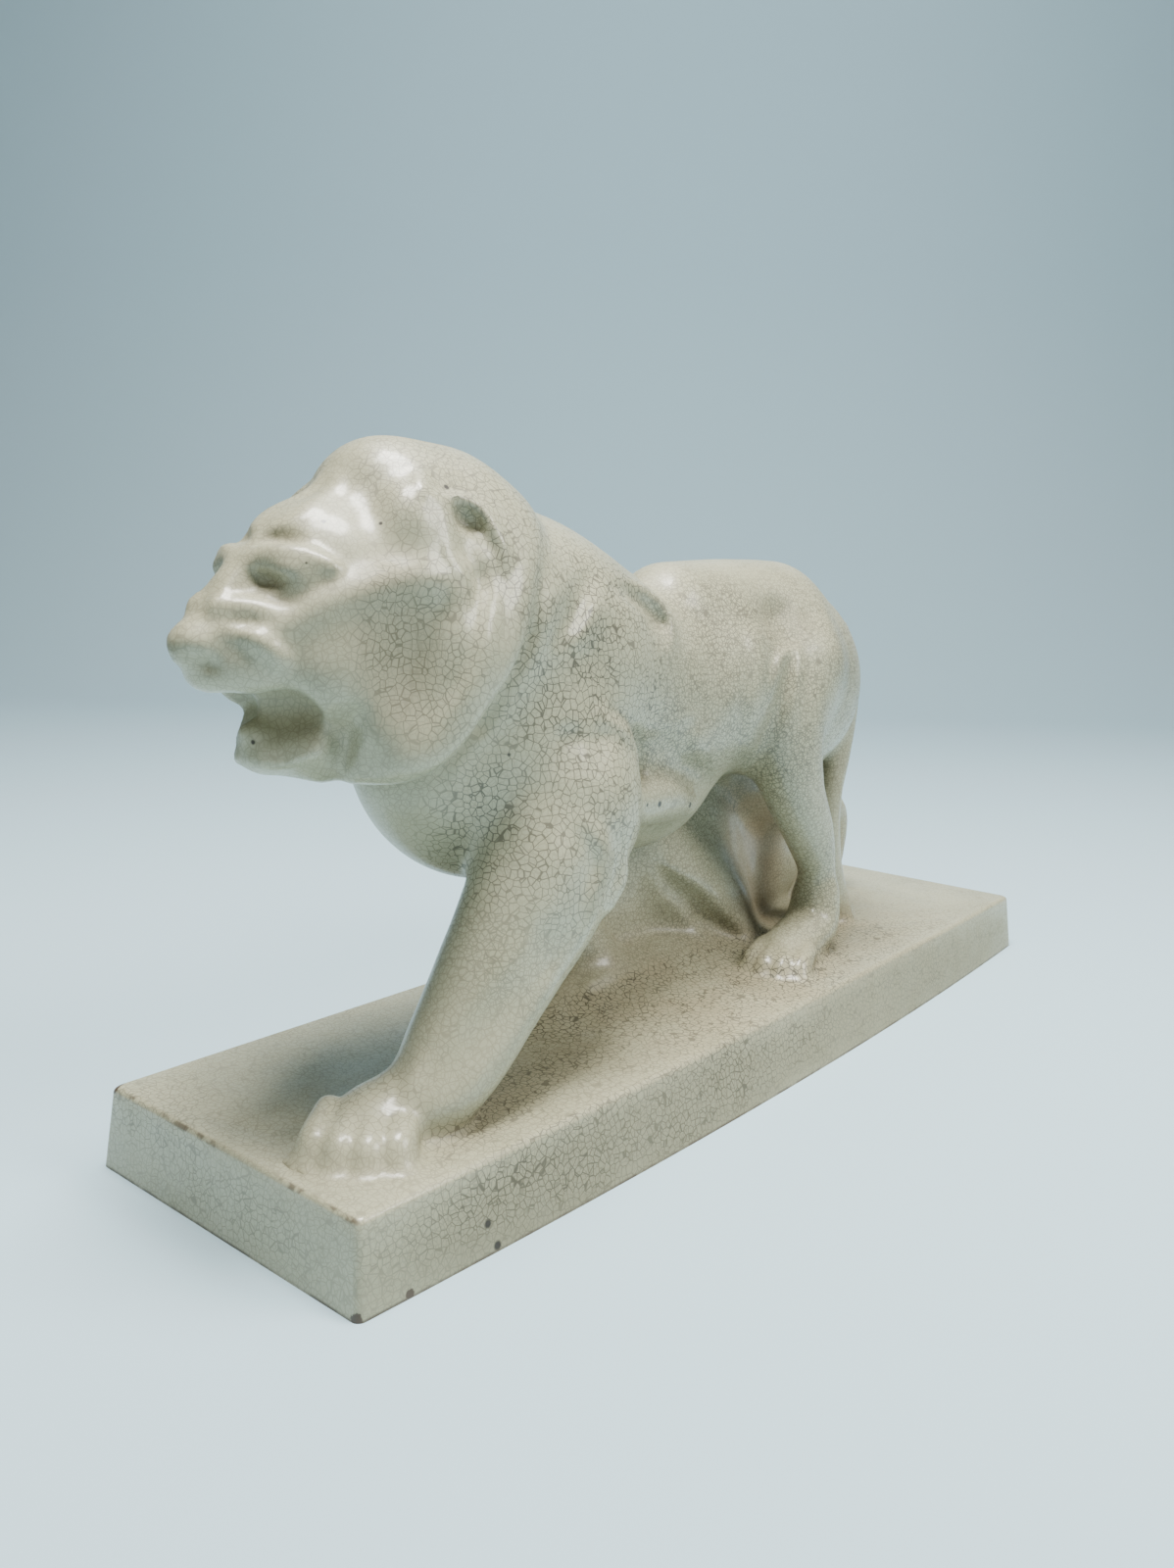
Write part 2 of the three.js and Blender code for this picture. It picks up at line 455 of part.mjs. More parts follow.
function netSurface(xs, ys, zs) {
  const nx = xs.length;
  const ny = ys.length;
  const nz = zs.length;
  const index = (i, j, k) => (i * ny + j) * nz + k;
  const values = new Float64Array(nx * ny * nz);
  for (let i = 0; i < nx; i++) {
    for (let j = 0; j < ny; j++) {
      for (let k = 0; k < nz; k++) {
        const edge = i === 0 || j === 0 || k === 0 || i === nx - 1 || j === ny - 1 || k === nz - 1;
        values[index(i, j, k)] = edge ? 1 : field(xs[i], ys[j], zs[k]);
      }
    }
  }
  untangle(values, nx, ny, nz);
  const vertexOf = new Int32Array(nx * ny * nz).fill(-1);
  const points = [];
  const corners = [];
  for (let c = 0; c < 8; c++) corners.push([c & 1, (c >> 1) & 1, (c >> 2) & 1]);
  for (let i = 0; i + 1 < nx; i++) {
    for (let j = 0; j + 1 < ny; j++) {
      for (let k = 0; k + 1 < nz; k++) {
        const v = corners.map(([a, b, c]) => values[index(i + a, j + b, k + c)]);
        const inside = v.filter((q) => q < 0).length;
        if (inside === 0 || inside === 8) continue;
        const sum = [0, 0, 0];
        let count = 0;
        for (let c = 0; c < 8; c++) {
          for (const bit of [1, 2, 4]) {
            const d = c | bit;
            if (d === c || (v[c] < 0) === (v[d] < 0)) continue;
            const t = v[c] / (v[c] - v[d]);
            sum[0] += corners[c][0] + t * (corners[d][0] - corners[c][0]);
            sum[1] += corners[c][1] + t * (corners[d][1] - corners[c][1]);
            sum[2] += corners[c][2] + t * (corners[d][2] - corners[c][2]);
            count += 1;
          }
        }
        vertexOf[index(i, j, k)] = points.length;
        const low = [xs[i], ys[j], zs[k]];
        const size = [xs[i + 1] - xs[i], ys[j + 1] - ys[j], zs[k + 1] - zs[k]];
        points.push(settled(low.map((v, n) => v + sum[n] / count * size[n]), low, size));
      }
    }
  }
  const triangles = [];
  const quad = (a, b, c, d, flip) => {
    const [p, q, r, s] = flip ? [a, d, c, b] : [a, b, c, d];
    const ac = distance(points[p], points[r]);
    const bd = distance(points[q], points[s]);
    if (ac <= bd) triangles.push(p, q, r, p, r, s);
    else triangles.push(p, q, s, q, r, s);
  };
  for (let i = 0; i + 1 < nx; i++) {
    for (let j = 0; j + 1 < ny; j++) {
      for (let k = 0; k + 1 < nz; k++) {
        const here = values[index(i, j, k)] < 0;
        const at = (a, b, c) => vertexOf[index(i - a, j - b, k - c)];
        if (j && k && here !== values[index(i + 1, j, k)] < 0) {
          quad(at(0, 1, 1), at(0, 0, 1), at(0, 0, 0), at(0, 1, 0), !here);
        }
        if (i && k && here !== values[index(i, j + 1, k)] < 0) {
          quad(at(1, 0, 1), at(1, 0, 0), at(0, 0, 0), at(0, 0, 1), !here);
        }
        if (i && j && here !== values[index(i, j, k + 1)] < 0) {
          quad(at(1, 1, 0), at(0, 1, 0), at(0, 0, 0), at(1, 0, 0), !here);
        }
      }
    }
  }
  return { points, triangles };
}

const distance = (p, q) => Math.hypot(p[0] - q[0], p[1] - q[1], p[2] - q[2]);

// Two short steps down the slope of the field bring a point onto the surface, inside its own cell
function settled(start, low, size) {
  const p = [...start];
  const step = settleStep;
  for (let pass = 0; pass < 2; pass++) {
    const f = field(...p);
    const gx = (field(p[0] + step, p[1], p[2]) - field(p[0] - step, p[1], p[2])) / (2 * step);
    const gy = (field(p[0], p[1] + step, p[2]) - field(p[0], p[1] - step, p[2])) / (2 * step);
    const gz = (field(p[0], p[1], p[2] + step) - field(p[0], p[1], p[2] - step)) / (2 * step);
    const slope = gx * gx + gy * gy + gz * gz;
    if (slope < flatSlope) return p;
    [gx, gy, gz].forEach((g, n) => {
      const nearest = low[n] + cellMargin * size[n];
      p[n] = Math.min(low[n] + size[n] * (1 - cellMargin), Math.max(nearest, p[n] - f / slope * g));
    });
  }
  return p;
}

// The slab as stacked outlines with rounded corners, its near long side bowed outwards
function slabRing(z, inset) {
  const half = [slab.length / 2 - inset, slab.width / 2 - inset];
  const r = slab.corner;
  const ring = [];
  const turn = slabCorners.steps;
  const cornersAt = [[-1, -1, 180], [1, -1, 270], [1, 1, 0], [-1, 1, 90]];
  const nearSteps = slabCorners.sideSteps;
  cornersAt.forEach(([sx, sy, start], n) => {
    for (let i = 0; i <= turn; i++) {
      const a = (start + 90 * i / turn) * Math.PI / 180;
      ring.push([sx * (half[0] - r) + r * Math.cos(a), sy * (half[1] - r) + r * Math.sin(a)]);
    }
    if (n === 0) {
      for (let i = 1; i < nearSteps; i++) {
        const x = -(half[0] - r) + 2 * (half[0] - r) * i / nearSteps;
        ring.push([x, -half[1]]);
      }
    }
  });
  const bow = slab.bow + slab.bowSpread * (1 - z / slab.height);
  return ring.map(([x, y]) => {
    const out = y < 0 ? bow * (1 - (2 * x / slab.length) ** 2) * Math.min(1, -y / (half[1] - r)) : 0;
    return [x, y - out, z];
  });
}

function slabGeometry() {
  const rings = [slabRing(0, 0)];
  const rounds = slabCorners.edgeSteps;
  for (let i = 0; i <= rounds; i++) {
    const a = i / rounds * Math.PI / 2;
    const z = slab.height - slab.edge * (1 - Math.sin(a));
    const inset = slab.draft * (z / slab.height) + slab.edge * (1 - Math.cos(a));
    rings.push(slabRing(z, inset));
  }
  const n = rings[0].length;
  const vertices = rings.flat(2);
  const indices = [];
  for (let r = 0; r + 1 < rings.length; r++) {
    for (let i = 0; i < n; i++) {
      const j = (i + 1) % n;
      indices.push(r * n + i, r * n + j, (r + 1) * n + j, r * n + i, (r + 1) * n + j, (r + 1) * n + i);
    }
  }
  const flat = (ring) => ring.map(([x, y]) => new THREE.Vector2(x, y));
  for (const [r, up] of [[0, false], [rings.length - 1, true]]) {
    for (const [a, b, c] of THREE.ShapeUtils.triangulateShape(flat(rings[r]), [])) {
      if (up) indices.push(r * n + a, r * n + b, r * n + c);
      else indices.push(r * n + a, r * n + c, r * n + b);
    }
  }
  const geometry = new THREE.BufferGeometry();
  geometry.setAttribute('position', new THREE.Float32BufferAttribute(vertices, 3));
  geometry.setIndex(indices);
  return geometry;
}

const wasm = await Module();
wasm.setup();

function solid(geometry) {
  const bare = geometry.clone();
  bare.deleteAttribute('normal');
  bare.deleteAttribute('uv');
  const merged = BufferGeometryUtils.mergeVertices(bare, 1e-4);
  return new wasm.Manifold(new wasm.Mesh({
    numProp: 3,
    vertProperties: new Float32Array(merged.attributes.position.array),
    triVerts: new Uint32Array(merged.index.array),
  }));
}

function geometryOf(body) {
  const mesh = body.getMesh();
  const geometry = new THREE.BufferGeometry();
  geometry.setAttribute('position', new THREE.BufferAttribute(new Float32Array(mesh.vertProperties), 3));
  geometry.setIndex(Array.from(mesh.triVerts));
  geometry.computeVertexNormals();
  return geometry;
}

const xs = gridLines(netFrom[0], netTo[0], (x) => {
  if (x < headEnd) return x < faceEnd ? cell.face : cell.head;
  return x > tailSpan[0] && x < tailSpan[1] ? cell.tail : cell.body;
});
const ys = gridLines(netFrom[1], netTo[1], () => cell.across);
const zs = gridLines(netFrom[2], netTo[2], (z) => {
  if (z < pawTop) return cell.low;
  return z < bellyHeight ? cell.middle : cell.high;
});
const net = netSurface(xs, ys, zs);
const lionGeometry = new THREE.BufferGeometry();
lionGeometry.setAttribute('position', new THREE.Float32BufferAttribute(net.points.flat(), 3));
lionGeometry.setIndex(net.triangles);
const lionSolid = solid(lionGeometry);
const slabSolid = solid(slabGeometry());
const figure = new THREE.Mesh(
  geometryOf(slabSolid.add(lionSolid)),
  new THREE.MeshStandardMaterial({ color: 0xd9d2bf, roughness: 0.28, metalness: 0 }),
);
figure.name = 'lion_figure';

const model = new THREE.Group();
model.add(figure);

export default model;
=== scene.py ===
import math

import bmesh
import bpy
import numpy as np
from mathutils import Matrix, Vector


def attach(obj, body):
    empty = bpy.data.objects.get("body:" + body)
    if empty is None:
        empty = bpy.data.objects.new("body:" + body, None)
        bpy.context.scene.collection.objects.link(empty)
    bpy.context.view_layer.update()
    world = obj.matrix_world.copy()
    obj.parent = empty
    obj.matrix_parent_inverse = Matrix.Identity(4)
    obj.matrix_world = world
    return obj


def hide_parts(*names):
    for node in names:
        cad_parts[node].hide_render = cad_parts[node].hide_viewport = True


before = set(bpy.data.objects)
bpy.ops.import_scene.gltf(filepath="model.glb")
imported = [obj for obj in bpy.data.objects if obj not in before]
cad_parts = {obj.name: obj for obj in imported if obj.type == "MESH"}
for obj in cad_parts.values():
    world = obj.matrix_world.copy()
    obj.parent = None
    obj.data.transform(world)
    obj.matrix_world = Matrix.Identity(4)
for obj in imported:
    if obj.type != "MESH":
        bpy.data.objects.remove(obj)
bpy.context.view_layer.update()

# Sizes are in millimetres, as in the solids, and the meshes are scaled to metres as they are made.
MM = 0.001
SLAB = dict(length=480.0, width=136.6, height=29.2, draft=2.9, edge=2.0, corner=2.6, bow=3.0, bow_spread=4.3)
SLAB_STEPS = dict(side=60, corner=5, wall=7, edge=5)
GROUND = SLAB["height"]
# A floor just under the slab's top melts into the lion's feet, so that the two meet softly.
FOOT = dict(sunk=0.5, melt=8.0, margin=9.0)

# The net's box, and its cells by where along the lion and how high they are
NET_FROM = (-258.0, -64.0, 12.0)
NET_TO = (216.0, 60.0, 256.0)
CELL = dict(face=1.25, head=1.6, body=2.0, low=1.7, high=1.7, across=1.7)
FACE_END = -196.0
HEAD_END = -150.0
LOW_TOP = 60.0
BELLY = 136.0

# The field's values far from any form, on the grid's outer planes and where a corner is filled
FAR_AWAY = 60.0
OUTSIDE = 1.0
JUST_INSIDE = -0.02
FORM_MARGIN = 10.0
LINE_STEPS = 6
LIMB_STEPS = 10
LINE_REACH = 2.3
SHARP_DEGREES = 50
# A line is drawn as the photograph's camera sees it: depth counts for this share in its distances.
LOOKING = np.array([0.76, 0.627, -0.17])
DEPTH_SHARE = 0.35

# A paw's pad and toes, in shares of its length, width and height
PAD = dict(behind=0.03, long=0.42, wide=0.4, high=1.25)
TOE = dict(count=4, reach=0.4, inset=0.06, spread=0.35, bend=0.07, melt=2.0)
TOE_HEIGHTS = (0.75, 0.45, 0.14)
TOE_RADII = (0.13, 0.16, 0.145)


# A form is a dictionary with its melt, the box it reaches and a distance, or a lift for a line.
def smoothed(rows, steps):
    """Points with their sizes drawn out into a smooth curve through all of them."""
    rows = [np.array(r, float) for r in rows]
    if len(rows) < 3:
        return rows
    curve = []
    last = len(rows) - 1
    for i in range(last):
        a, b, c, d = rows[max(0, i - 1)], rows[i], rows[i + 1], rows[min(last, i + 2)]
        for k in range(steps):
            t = k / steps
            bend = 2 * a - 5 * b + 4 * c - d
            twist = 3 * b - a - 3 * c + d
            curve.append(0.5 * (2 * b + (c - a) * t + bend * t * t + twist * t**3))
    curve.append(rows[last])
    return curve


def mass(at, half, melt, lean=0, yaw=0):
    """An ellipsoid with half sizes, leaned about Y and then turned about Z by degrees."""
    cl, sl = math.cos(math.radians(lean)), math.sin(math.radians(lean))
    cy, sy = math.cos(math.radians(yaw)), math.sin(math.radians(yaw))
    reach = [max(half)] * 3 if lean or yaw else half

    def dist(x, y, z):
        dx, dy, dz = x - at[0], y - at[1], z - at[2]
        ux, v = cy * dx + sy * dy, -sy * dx + cy * dy
        u, w = cl * ux + sl * dz, -sl * ux + cl * dz
        k0 = np.sqrt((u / half[0]) ** 2 + (v / half[1]) ** 2 + (w / half[2]) ** 2)
        k1 = np.sqrt((u / half[0] ** 2) ** 2 + (v / half[1] ** 2) ** 2 + (w / half[2] ** 2) ** 2)
        return k0 * (k0 - 1) / np.maximum(k1, 1e-6)

    low = [at[i] - reach[i] for i in range(3)]
    high = [at[i] + reach[i] for i in range(3)]
    return dict(melt=melt, low=low, high=high, dist=dist)


def reach_of(points, reach):
    low = [min(p[i] for p in points) - reach for i in range(3)]
    high = [max(p[i] for p in points) + reach for i in range(3)]
    return low, high


def nearest_share(x, y, z, a, along):
    """How far along the stretch from a, as a share of it from 0 to 1, each place lies."""
    dot = (x - a[0]) * along[0] + (y - a[1]) * along[1] + (z - a[2]) * along[2]
    return np.clip(dot / (along[0] ** 2 + along[1] ** 2 + along[2] ** 2), 0, 1)


def limb(points, radii, melt, flat=1.0):
    """A round rod through points with a radius at each, thinner across the lion where flat is above 1."""
    rows = smoothed([list(p) + [r] for p, r in zip(points, radii)], LIMB_STEPS)
    low, high = reach_of(points, max(radii))

    def dist(x, y, z):
        best = None
        for a, b in zip(rows, rows[1:]):
            along = b - a
            t = nearest_share(x, y, z, a, along)
            across = (y - a[1] - t * along[1]) * flat
            gap = np.sqrt((x - a[0] - t * along[0]) ** 2 + across**2 + (z - a[2] - t * along[2]) ** 2)
            gap = gap - a[3] - t * along[3]
            best = gap if best is None else np.minimum(best, gap)
        return best

    return dict(melt=melt, low=low, high=high, dist=dist)


def flattened(x, y, z):
    away = (1 - DEPTH_SHARE) * (x * LOOKING[0] + y * LOOKING[1] + z * LOOKING[2])
    return x - away * LOOKING[0], y - away * LOOKING[1], z - away * LOOKING[2]


def line(points, widths, heights):
    """A soft ridge, or a groove where a height is below zero, drawn on the surface through points."""
    rows = [list(flattened(*p)) + [w, h] for p, w, h in zip(points, widths, heights)]
    rows = smoothed(rows, LINE_STEPS)
    low, high = reach_of(points, LINE_REACH * max(widths))

    def lift(x, y, z):
        u, v, w = flattened(x, y, z)
        best = np.ones(np.broadcast(x, y, z).shape)
        height = np.zeros(best.shape)
        for a, b in zip(rows, rows[1:]):
            along = b - a
            t = nearest_share(u, v, w, a, along)
            gap = (u - a[0] - t * along[0]) ** 2 + (v - a[1] - t * along[1]) ** 2
            gap = np.sqrt(gap + (w - a[2] - t * along[2]) ** 2)
            share = gap / (a[3] + t * along[3])
            nearer = share < best
            height = np.where(nearer, a[4] + t * along[4], height)
            best = np.where(nearer, share, best)
        return height * (1 - best * best) ** 2

    return dict(melt=0, low=low, high=high, lift=lift)


def paired(form):
    """The form, drawn on the lion's left side, with its mirror image on the right."""
    low, high = form["low"], form["high"]
    far = max(abs(low[1]), abs(high[1]))
    pair = dict(form, low=[low[0], -far, low[2]], high=[high[0], far, high[2]])
    for name in ("dist", "lift"):
        if name in form:
            pair[name] = lambda x, y, z, inner=form[name]: inner(x, -np.abs(y), z)
    return pair


def carved(form):
    return dict(form, carve=True)


def paw(centre, length, width, height, melt, turn=0):
    """A low pad with short toes ahead of it, turned left by turn degrees."""
    c, s = math.cos(math.radians(turn)), math.sin(math.radians(turn))

    def placed(ahead, aside, z):
        return [centre[0] - c * ahead - s * aside, centre[1] - s * ahead + c * aside, z]

    size = [PAD["long"] * length, PAD["wide"] * width, PAD["high"] * height]
    forms = [mass(placed(-PAD["behind"] * length, 0, GROUND), size, melt, 0, turn)]
    root, knuckle, end = (GROUND + share * height for share in TOE_HEIGHTS)
    for i in range(TOE["count"]):
        side = 2 * i / (TOE["count"] - 1) - 1
        reach = length * (TOE["reach"] - TOE["inset"] * side * side)
        aside = side * TOE["spread"] * width
        bent = reach - TOE["bend"] * length
        toe = [placed(0, aside, root), placed(bent, aside, knuckle), placed(reach, aside, end)]
        forms.append(limb(toe, [share * width for share in TOE_RADII], TOE["melt"]))
    return forms


trunk = [
    mass([-116, 0, 150], [64, 38, 56], 8),
    limb([[-146, 0, 196], [-108, 0, 189], [-72, 0, 177]], [38, 38.5, 36], 16),
    limb([[-146, 0, 186], [-90, 0, 165]], [40, 38], 10),
    mass([-45, 0, 154], [70, 35, 47], 12),
    mass([10, 0, 160], [66, 35, 44], 12),
    limb([[-14, 0, 189], [30, 0, 190], [66, 0, 188]], [22.5, 23.5, 24.5], 6),
    mass([71, 0, 157], [67, 36, 49.5], 12, -10),
    mass([-30, 5, 118], [48, 26, 28], 12),
    paired(mass([-92, -24, 172], [24, 17, 34], 6, 12)),
    paired(mass([-116, -24, 140], [32, 22, 38], 10, 20)),
    limb([[-74, -26, 120], [-52, -24, 119], [-28, -21, 113]], [11, 11, 7.5], 4),
]

trunk_lines = [
    line([[-108, -34, 204], [-115, -36, 199], [-121, -38, 193], [-128, -40, 186]],
        [6, 8, 8, 6], [-1, -2.6, -2.6, -0.8]),
    line([[-103, -37, 200], [-110, -38, 194], [-119, -41, 186]], [8, 10, 8], [0.8, 1.8, 0.8]),
    line([[-113, -36, 206], [-121, -39, 200], [-128, -40, 192]], [5, 6, 5], [0.5, 1.5, 0.5]),
    line([[-93, -35, 201], [-76, -31, 198], [-66, -31, 194], [-62, -32, 189], [-61, -33, 183]],
        [5, 7, 8, 8, 6], [-0.8, -2.6, -3.6, -3.6, -1.2]),
    line([[-78, -29, 203], [-67, -28, 200], [-57, -30, 195], [-53, -32, 189], [-54, -34, 182]],
        [5, 6, 6, 5, 4], [0.6, 2, 2.4, 2, 0.5]),
    line([[-126, -44, 150], [-128, -45, 143]], [8, 8], [-2, -1.5]),
    line([[-114, -47, 149], [-116, -49, 142]], [7, 7], [-2, -1.5]),
    line([[-110, -46, 158], [-98, -44, 153], [-87, -39, 146], [-82, -38, 138], [-84, -41, 128]],
        [6, 6, 6, 6, 6], [1, 2, 2.5, 2.5, 1.5]),
    line([[-101, -41, 158], [-89, -37, 152], [-76, -33, 144], [-72, -31, 136], [-76, -34, 127]],
        [4, 5, 6, 6, 5], [-1, -2.5, -3, -3, -1.5]),
    line([[-66, -33, 141], [-49, -30, 138], [-32, -27, 130], [-16, -24, 121]],
        [9, 11, 11, 9], [-2, -3, -3, -1.5]),
    line([[-41, -32, 146], [-40, -32, 141]], [5, 5], [-1.2, -1.2]),
    line([[-36, -31, 138], [-28, -30, 135]], [9, 9], [1.8, 1.2]),
    line([[-28, -34, 188], [-26, -35, 172], [-32, -35, 156]], [16, 16, 14], [-1, -1.8, -1.5]),
    line([[8, -33, 180], [8, -35, 163], [6, -34, 149], [12, -29, 134]], [9, 9, 9, 7], [1.5, 2, 2.2, 1.5]),
    line([[34, -26, 188], [38, -30, 181]], [14, 12], [-2.5, -2]),
    line([[55, -33, 187], [57, -36, 180]], [11, 10], [-2, -1.5]),
    line([[37, -35, 176], [28, -34, 173], [21, -36, 165], [20, -34, 154], [18, -32, 143]],
        [3.5, 5, 6, 6, 6], [0.8, 2.2, 2.4, 2, 0.8]),
    line([[38, -36, 176], [35, -37, 166], [34, -37, 157], [32, -37, 150], [30, -35, 140], [28, -31, 130]],
        [4, 5, 6, 8, 9, 9], [1.2, 3, 3, 2.6, 2, 1]),
    line([[31, -36, 171], [29, -34, 160], [26, -33, 147], [25, -31, 135], [26, -27, 124]],
        [5, 7, 8, 8, 8], [-0.6, -2, -3, -3, -2]),
    paired(line([[-140, -38, 219], [-145, -43, 202], [-148, -44, 188], [-151, -40, 173], [-159, -34, 158]],
        [6, 7, 7, 7, 6], [-1.8, -3, -3, -2.5, -1.5])),
    paired(line([[-136, -38, 206], [-139, -42, 192], [-143, -40, 178], [-153, -37, 163], [-165, -28, 142]],
        [5, 5, 5, 5, 5], [0.4, 1.8, 1.8, 1.5, 0.6])),
    line([[-128, -38, 212], [-132, -41, 200], [-136, -41, 192]], [8, 9, 8], [1, 1.5, 1]),
]

head = [
    mass([-160, 0, 189], [18, 45, 58], 8, -40),
    mass([-173, 0, 178], [25, 45, 43], 8, -40),
    paired(limb([[-128, -5, 228], [-142, -30, 213], [-153, -41, 190], [-166, -43, 172], [-182, -40, 157],
        [-193, -32, 148], [-200, -16, 146]], [4, 4, 4, 4, 4, 4, 4], 7)),
    mass([-172, 0, 223], [22, 26, 25], 6),
    mass([-152, 0, 214.5], [32, 36, 33], 10),
    mass([-191, 0, 208], [27.5, 24, 19], 9),
    mass([-190, 0, 188], [33, 36, 36], 12),
    mass([-218, 0, 183], [22, 17, 14], 8),
    limb([[-241, 0, 183.5], [-236, 0, 188.4], [-231.8, 0, 193.4], [-225.7, 0, 201.1], [-216, 0, 208]],
        [6.5, 6.5, 6.5, 6.5, 7], 5, 0.9),
    mass([-240, 0, 184.5], [7, 8.5, 6], 4),
    mass([-235, 0, 176], [8, 9, 6], 3),
    paired(mass([-227, -12, 179], [14, 7, 9.5], 4, 0, -33)),
    paired(mass([-212, -11, 199], [12.5, 10, 6], 5, 0, -40)),
    paired(mass([-224, -7, 189], [13, 8, 8], 5)),
    paired(limb([[-236, -5, 195], [-231.5, -9, 194.7], [-227.5, -13, 194.2], [-224, -16, 193]],
        [1.8, 2.5, 2.4, 1.2], 4.5)),
    paired(limb([[-226, -16.5, 187], [-215, -24, 194.5], [-204, -30, 199.5], [-190, -33.5, 202.5],
        [-176, -34.5, 203.5]], [2.5, 3, 3.5, 4.2, 4.5], 9)),
    paired(mass([-203, -22, 176], [17, 12, 17], 9)),
    mass([-203, 0, 163], [18, 15, 14], 6),
    mass([-206, 0, 151.5], [19, 15, 9], 5),
    mass([-219, 0, 150], [6, 9, 6], 3),
    mass([-219, 0, 158], [7.5, 8, 4.5], 4),
    paired(mass([-203, -11, 157], [15, 12, 15], 6)),
    paired(mass([-184, -22, 163], [18, 22, 21], 10)),
    carved(paired(mass([-219, -12, 164.3], [9.4, 7.4, 5], 9, 0, -48))),
    paired(limb([[-222.5, -5, 207.6], [-220.5, -10, 209.2], [-217, -16.5, 209.6], [-211.5, -25, 207.4]],
        [3, 3.8, 3.5, 1.4], 5)),
    paired(mass([-216.5, -14.5, 205.2], [6.5, 7, 3], 4.5, -8, -38)),
    paired(mass([-179, -24, 214], [14, 11, 18], 8)),
    carved(paired(mass([-195, -51.5, 179], [17, 17, 27], 10))),
]

face_lines = [
    paired(line([[-222, -4, 214], [-219, -9, 215.3], [-215, -15, 214]], [3.5, 3.5, 3.5], [-0.6, -1.6, -0.6])),
    paired(line([[-216, -6, 219], [-211, -10, 223], [-205, -10, 228], [-193, -4, 233]],
        [6, 6, 6, 6], [1, 1, 1, 1])),
    paired(line([[-226, -6, 204.5], [-223, -9.5, 202.6], [-220, -15, 202.8], [-215.5, -22, 205]],
        [3, 4, 3.8, 2.6], [-0.5, -1.5, -0.8, -0.1])),
    paired(line([[-226, -8, 199.6], [-221, -12, 198.8], [-217, -18, 201.5], [-213.5, -24, 205]],
        [2.6, 3.2, 3, 2.4], [0.1, 0.7, 0.7, 0.2])),
    paired(line([[-242, -5.5, 190], [-238, -5.5, 195], [-233, -5, 201], [-227, -5, 206]],
        [2.2, 2.5, 2.5, 2.2], [0.2, 0.7, 0.7, 0.3])),
    paired(line([[-237, -9.5, 191.6], [-232.5, -12.5, 191.3], [-227, -16, 190.6]], [3, 3.6, 3.4],
        [-0.3, -0.9, -0.4])),
    paired(line([[-240, -10, 189], [-236.5, -14, 188], [-232.5, -18.5, 186], [-227.5, -21.5, 181]],
        [3.6, 4.2, 4.8, 5], [0.2, 1, 2, 1.8])),
    paired(line([[-245, -4.5, 181.5], [-242.5, -6.5, 180], [-239, -8, 178]], [3, 3, 3], [-1, -1.6, -1])),
    paired(line([[-224, -3, 149], [-221, -11, 148], [-215, -19, 152], [-210, -20, 155]],
        [2.5, 3, 3, 2.5], [0.8, 1.2, 1, 0.3])),
    paired(line([[-226, -2, 144], [-220, -11, 144], [-212, -17, 147]], [4, 4, 4], [-1.2, -1.4, -0.8])),
    paired(line([[-203, -24, 163], [-205, -21, 154], [-206, -18, 144]], [8, 7, 6], [-2.5, -3.5, -2])),
    paired(line([[-175, -23, 237], [-177, -27, 229], [-171, -28, 225], [-171, -31, 218], [-173, -34, 211],
        [-170, -36, 206], [-170, -38, 202], [-175, -41, 194], [-180, -43, 185], [-185, -44, 176],
        [-191, -44, 166], [-198, -37, 155]], [3.5, 3.5, 3.5, 3.5, 3.5, 4, 4, 7, 9, 11, 12, 12],
        [0.8, 2.2, 2.5, 2.2, 2, 2, 1.5, 1.5, 1.8, 1.8, 1.4, 0.5])),
    carved(paired(mass([-165, -34.5, 222.3], [5.6, 4.6, 3.4], 3, -22, 0))),
    paired(line([[-172, -29, 227], [-166, -31, 229], [-160, -34, 226], [-157, -38, 219], [-156, -41, 213],
        [-158, -43, 206]], [3, 3, 3, 4, 4, 3], [0.5, 2.2, 2.8, 2.8, 2, 0.4])),
    paired(line([[-166, -34, 214], [-162, -37, 210], [-162, -39, 206]], [6, 8, 6], [0.5, 1.5, 0.5])),
    paired(line([[-160, -40, 205], [-164, -43, 198], [-168, -46, 190], [-171, -47, 179], [-179, -47, 169],
        [-191, -45, 159]], [4, 5, 5, 6, 6, 6], [0.4, 1.4, 1.6, 1.6, 1.3, 0.3])),
    paired(line([[-190, -21, 222], [-188, -28, 214]], [11, 11], [-1, -1])),
]

